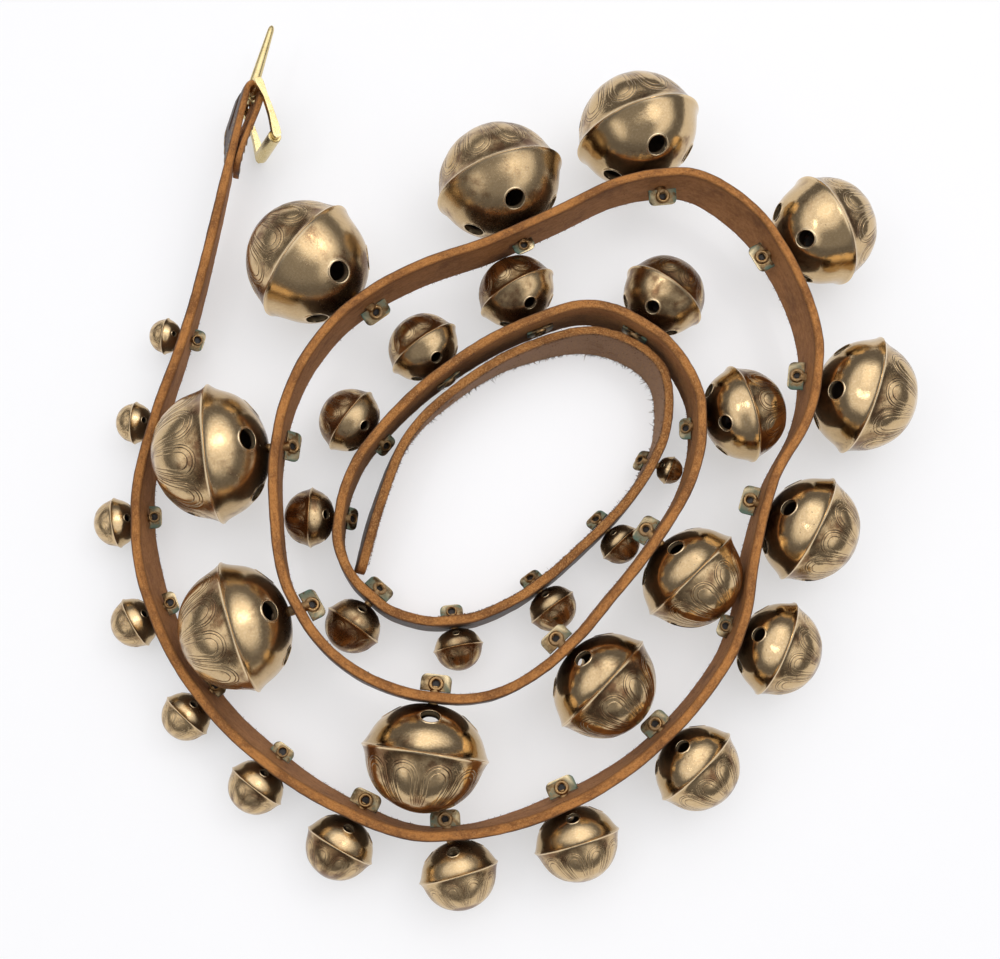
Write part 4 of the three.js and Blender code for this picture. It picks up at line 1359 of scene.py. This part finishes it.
# %% Buckle frame
FRAME_SIDE_GAP = 1.8
ARM_THICKNESS = 4.0
ARM_WIDTH = 4.6
ARM_SHAPE = ((0, 0.75), (0.06, 1.15), (0.3, 0.62), (0.6, 0.78), (0.85, 1.12), (0.95, 1.12), (1, 0.6))
ARM_BOW = 1.4
ARM_EDGE = 1.1
BAR_SHORT = 0.6
FRAME_REACH = 33
FRAME_SWING = 33
ROD_RADIUS = 1.9
FRAME_INSIDE = STRAP_WIDTH / 2 + FRAME_SIDE_GAP
FRAME_OUTSIDE = FRAME_INSIDE + ARM_THICKNESS


def swung(degrees):
    c, along, across, face = (part[0] for part in sections(0))
    bar = c - face * (BAR_RADIUS + BAR_CLEARANCE + STRAP_THICKNESS / 2)
    x = along * math.cos(math.radians(degrees)) - face * math.sin(math.radians(degrees))
    return in_metres(x, np.cross(across, x), across, bar)


def round_bar(name, radius, half, at=0.0):
    return start(name, bpy.ops.mesh.primitive_cylinder_add, vertices=32, radius=radius * MM,
                 depth=2 * half * MM, location=(at * MM, 0, 0))


def frame_arm(side):
    arm = start("arm", bpy.ops.mesh.primitive_cube_add, size=1)
    open_up(arm)
    bpy.ops.mesh.subdivide(number_cuts=19)
    put_down()
    points = read_points(arm)
    share = points[:, 0] + 0.5
    narrow = np.interp(share, *np.array(ARM_SHAPE).T)
    x = (FRAME_REACH + ARM_WIDTH) * share - ARM_WIDTH / 2
    y = ARM_BOW * np.sin(math.pi * share) + points[:, 1] * ARM_WIDTH * narrow
    z = side * (FRAME_INSIDE + ARM_THICKNESS / 2) + points[:, 2] * ARM_THICKNESS
    write_points(arm, np.stack([x, y, z], axis=1) * MM)
    return bevel(arm, ARM_EDGE, 4, 60)


buckle = round_bar("buckle_casting", BAR_RADIUS, FRAME_OUTSIDE - BAR_SHORT)
rod = round_bar("rod", ROD_RADIUS, FRAME_OUTSIDE - BAR_SHORT, FRAME_REACH)
cut(buckle, rod, frame_arm(1), frame_arm(-1), operation="UNION")
buckle.data.transform(swung(FRAME_SWING))
print("buckle frame", len(buckle.data.polygons), "faces")

# %% Roller
ROLLER_RADIUS = 4.0
ROLLER_EDGE = 0.5
ROLLER_CLEARANCE = 0.5
ROLLER_END_GAP = 0.4
SEAM_WIDTH = 0.25
SEAM_BLOCK = 4
SEAM_BLOCK_OUT = 1.2


def make_roller():
    half = FRAME_INSIDE - ROLLER_END_GAP
    bore = ROD_RADIUS + ROLLER_CLEARANCE
    line = [(bore, -half), (ROLLER_RADIUS - ROLLER_EDGE, -half), (ROLLER_RADIUS, ROLLER_EDGE - half)]
    line += [(r, -z) for r, z in reversed(line)] + line[:1]
    obj = spin_up("roller_tube", [(r * MM, z * MM) for r, z in line], 40)
    slit = start("slit", bpy.ops.mesh.primitive_cube_add, size=1)
    block = [SEAM_WIDTH, SEAM_BLOCK, 3 * half]
    write_points(slit, (read_points(slit) * block + [0, ROLLER_RADIUS + SEAM_BLOCK_OUT, 0]) * MM)
    cut(obj, slit)
    obj.data.transform(swung(FRAME_SWING) @ Matrix.Translation((FRAME_REACH * MM, 0, 0)))
    return obj


roller = make_roller()
print("roller", len(roller.data.polygons), "faces")

# %% Tongue
TONGUE_SWING = 178
TONGUE_LENGTH = 50.5
TONGUE_EYE_WALL = 1.7
TONGUE_EYE_LENGTH = 6.4
TONGUE_ROOT_RADIUS = 3.7
TONGUE_TIP_RADIUS = 1.9
TONGUE_FLATNESS = 0.95
TONGUE_ROUND = 0.93
TONGUE_BLUNT = 1.02
TONGUE_EYE_EDGE = 0.9


def make_tongue():
    hole = BAR_RADIUS + BAR_CLEARANCE
    half = TONGUE_EYE_LENGTH / 2
    eye = round_bar("tongue_pin", hole + TONGUE_EYE_WALL, half)
    bevel(eye, TONGUE_EYE_EDGE, 3, 50)
    pin = start("pin", bpy.ops.mesh.primitive_cylinder_add, vertices=24, radius=1, depth=1,
                rotation=(0, math.pi / 2, 0))
    open_up(pin)
    bpy.ops.mesh.subdivide(number_cuts=11)
    put_down()
    points = read_points(pin)
    share = 1 - (0.5 - points[:, 0]) ** 2
    radius = TONGUE_ROOT_RADIUS + (TONGUE_TIP_RADIUS - TONGUE_ROOT_RADIUS) * share
    radius *= np.sqrt(TONGUE_BLUNT - np.clip((share - TONGUE_ROUND) / (1 - TONGUE_ROUND), 0, 1) ** 2)
    x, y, z = TONGUE_LENGTH * share, points[:, 1] * radius * TONGUE_FLATNESS, points[:, 2] * radius
    write_points(pin, np.stack([x, y, z], axis=1) * MM)
    cut(eye, pin, operation="UNION")
    cut(eye, round_bar("bore", hole, 2 * half))
    eye.data.transform(swung(TONGUE_SWING))
    return eye


tongue = make_tongue()
for obj, body in ((buckle, "buckle_frame"), (roller, "buckle_roller"), (tongue, "buckle_tongue")):
    smooth(obj, 40)
    coat(obj, BUCKLE_FINISH)
    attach(obj, body)
    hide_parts(body)
print("tongue", len(tongue.data.polygons), "faces")

# %% [markdown]
# The turned-back end is sewn down with two rows of waxed thread. A stitch is a short swollen
# length of thread that dips into the leather at both ends, modelled once and copied.

# %% Stitches
STITCH_PITCH = 5.2
STITCH_INSET = 4.0
STITCH_FROM = 24
STITCH_TO = 46
STITCH_SIZE = (2.3, 0.55, 0.42)
STITCH_RISE = 0.05


def make_stitch():
    obj = start("stitch", bpy.ops.mesh.primitive_uv_sphere_add, segments=10, ring_count=8, radius=1,
                rotation=(0, math.pi / 2, 0))
    points = read_points(obj)
    mark(obj, "twist", 0.5 + 0.5 * np.sin(6 * points[:, 0] + np.arctan2(points[:, 2], points[:, 1])))
    write_points(obj, points * STITCH_SIZE * MM)
    coat(obj, THREAD)
    return obj


def sew():
    pattern = make_stitch()
    stitches = []
    for side in (-1, 1):
        for s in np.arange(STITCH_FROM, STITCH_TO, STITCH_PITCH):
            c, x, y, z = coil_at(s)
            row = np.argmin(np.abs(ROW_AT[ROW_AT < 0] + s))
            aside = y * side * (ROW_WIDTH[row] / 2 - STITCH_INSET)
            outer = c + z * (skived(s) - STRAP_THICKNESS / 2 + STITCH_RISE) + aside
            inner = ROW_CENTRE[row] + ROW_NORMAL[row] * (TURN_BACK_THICKNESS / 2 + STITCH_RISE) + aside
            for place, up in ((outer, z), (inner, -z)):
                stitch = copy_of(pattern, "stitch")
                stitch.data.transform(in_metres(x, np.cross(up, x), up, place))
                stitches.append(stitch)
    throw_away(pattern)
    obj = rename(join(*stitches), "fold_stitching")
    smooth(obj, 60)
    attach(obj, "strap")
    return obj


stitching = sew()
print("stitching", len(stitching.data.polygons), "faces")

# %% [markdown]
# Old harness leather frays: short hairs stand off the flesh side, and most thickly along both
# edges of the innermost turn. Hair particles would need a live system, so one three-sided hair is
# modelled and copied a few thousand times into a single mesh, each copy turned and sized by a
# fixed draw.

# %% Frayed fibres
FIBRES = 6000
FIBRE_DARK = (0.055, 0.027, 0.013)
FIBRE_TAN = (0.24, 0.115, 0.045)
INNER_SHARE = 0.66
INNER_RUN = (INNER_TURN_FROM, STRAP_LENGTH - 4)
OUTER_RUN = (70, INNER_TURN_FROM)
LOW_SHARE = 0.45
TOP_SHARE, INNER_TOP_SHARE = 0.25, 0.5
LOW_SPREAD, TOP_SPREAD = 0.6, 0.8
HAIR_LENGTH = (0.3, 1.0)
HAIR_LONGER = 0.7
HAIR_THICKNESS = (0.12, 0.30)
HAIR_ROOT = 0.25
HAIR_FROM_EDGE = 0.3
FLOOR_CLEARANCE = 0.05


def fibre_finish():
    f = Finish("loose_fibre")
    patch = f.cloud(300, 2, 0.5)
    colour = f.blend(patch.ramp(0.35, 0.65), FIBRE_DARK, FIBRE_TAN)
    return f.finish(colour, 0.8 + 0.1 * (patch - 0.5), 0.0)


def fray():
    pattern = start("hair", bpy.ops.mesh.primitive_cone_add, vertices=3, radius1=1, radius2=0.25, depth=1,
                    location=(0, 0, 0.5))
    hair = read_points(pattern)
    sides = [tuple(face.vertices) for face in pattern.data.polygons]
    throw_away(pattern)
    half = STRAP_WIDTH / 2
    draw = np.random.default_rng(21)
    points, faces = [], []
    for _ in range(FIBRES):
        inner = draw.random() < INNER_SHARE
        c, x, y, z = coil_at(draw.uniform(*(INNER_RUN if inner else OUTER_RUN)))
        low = draw.random() < LOW_SHARE
        level = draw.exponential(LOW_SPREAD) - half if low else draw.uniform(-0.5, 0.5) * STRAP_WIDTH
        top = draw.random() < (INNER_TOP_SHARE if inner else TOP_SHARE)
        level = half - draw.exponential(TOP_SPREAD) if top else level
        out = -z + 0.4 * y if top else -z
        way = unit(out + x * draw.normal(0, 0.8) + y * draw.normal(0, 0.3))
        length = draw.uniform(*HAIR_LENGTH)
        length += draw.exponential(HAIR_LONGER) if inner and low and not top else 0
        thick = draw.uniform(*HAIR_THICKNESS)
        side = unit(np.cross(way, x + 0.01))
        basis = np.stack([side, np.cross(way, side), way], axis=1)
        root = c - z * (STRAP_THICKNESS / 2 - HAIR_ROOT) + y * min(level, half - HAIR_FROM_EDGE)
        strand = root + (hair * [thick, thick, length]) @ basis.T
        strand[:, 2] = np.maximum(strand[:, 2], FLOOR_CLEARANCE)
        faces += [[v + len(points) for v in face] for face in sides]
        points += (strand * MM).tolist()
    mesh = bpy.data.meshes.new("frayed_fibres")
    mesh.from_pydata(points, [], faces)
    obj = bpy.data.objects.new("frayed_fibres", mesh)
    bpy.context.scene.collection.objects.link(obj)
    coat(obj, fibre_finish())
    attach(obj, "strap")
    return obj


fibres = fray()
print("fibres", len(fibres.data.polygons), "faces")

# %% [markdown]
# The picture was taken on a white table under broad soft light from above and behind. A large
# area lamp gives the soft shadows, two small ones put glints on the domes, and the world is a
# dim room with a bright ceiling, darker on the near side, which the brass reflects. The floor is
# white by its own colour, lifted halfway to white for the rays that see it.

# %% Floor
FLOOR_WHITE = (0.93, 0.93, 0.945)
FLOOR_PALE = (0.95, 0.95, 0.96)
FLOOR_HALF = 3.0
FLOOR_LEVEL = -0.0002
FLOOR_LIFT = 0.5


def floor_finish():
    f = Finish("white_table")
    grain = f.cloud(60, 3, 0.5)
    colour = f.blend(grain, FLOOR_WHITE, FLOOR_PALE)
    f.finish(colour, 0.75 + 0.05 * grain, 0.0, Specular_IOR_Level=0.2)
    path = f.node("LightPath", {}, {}).socket.node
    camera_ray, glossy_ray, clear_ray = (
        Wire(f, path.outputs[name]) for name in ("Is Camera Ray", "Is Glossy Ray", "Is Transmission Ray"))
    seen = camera_ray.most(glossy_ray).most(clear_ray)
    white = f.node("Emission", {}, {"Color": (1.0, 1.0, 1.0), "Strength": 1.0})
    table_top = f.node("MixShader", {}, {0: FLOOR_LIFT * seen, 1: Wire(f, f.shader.outputs[0]), 2: white})
    f.feed(f.tree.nodes["Material Output"].inputs["Surface"], table_top)
    return f.material


table = start("table", bpy.ops.mesh.primitive_plane_add, size=2 * FLOOR_HALF, location=(0, 0, FLOOR_LEVEL))
coat(table, floor_finish())
print("table laid")

# %% Lamps and room
ROOM_COLOUR, ROOM_STRENGTH = (0.85, 0.84, 0.9), 0.22
CEILING_COLOUR, CEILING_STRENGTH = (0.97, 0.97, 1.0), 1.25


def lamp(name, place, width, depth, power, colour):
    """A soft box that faces the middle of the coil."""
    light = bpy.data.lights.new(name, "AREA")
    light.shape = "RECTANGLE"
    light.size, light.size_y = width, depth
    light.energy = power
    light.color = colour
    obj = bpy.data.objects.new(name, light)
    bpy.context.scene.collection.objects.link(obj)
    obj.location = place
    obj.rotation_euler = (-Vector(place)).to_track_quat("-Z", "Y").to_euler()
    return obj


key = lamp("key", (0.30, 0.60, 1.6), 2.2, 1.6, 6, (1.0, 0.985, 0.965))
strip = lamp("strip", (0.60, 0.40, 1.25), 0.45, 0.10, 0.9, (1.0, 0.98, 0.95))
lamp_left = lamp("lamp_left", (-0.75, -0.05, 1.25), 0.35, 0.12, 0.55, (0.97, 0.98, 1.0))


class Air(Finish):
    def __init__(self, name):
        self.world = bpy.data.worlds.new(name)
        self.world.use_nodes = True
        self.tree = self.world.node_tree
        self.where = self.node("TexCoord", {}, {}, "Generated")


air = Air("studio")
x, y, z = air.parts(air.where)
near_side = (y * -1).ramp(0.20, 0.42) * x.size().ramp(0.65, 0.30)
bright = z.ramp(0.30, 0.62) * (1 - 0.85 * near_side)
room = air.node("Background", {}, {"Color": ROOM_COLOUR, "Strength": ROOM_STRENGTH})
ceiling = air.node("Background", {}, {"Color": CEILING_COLOUR, "Strength": CEILING_STRENGTH})
sky = air.node("MixShader", {}, {0: bright, 1: room, 2: ceiling})
air.feed(air.tree.nodes["World Output"].inputs["Surface"], sky)
bpy.context.scene.world = air.world
print("stage set")
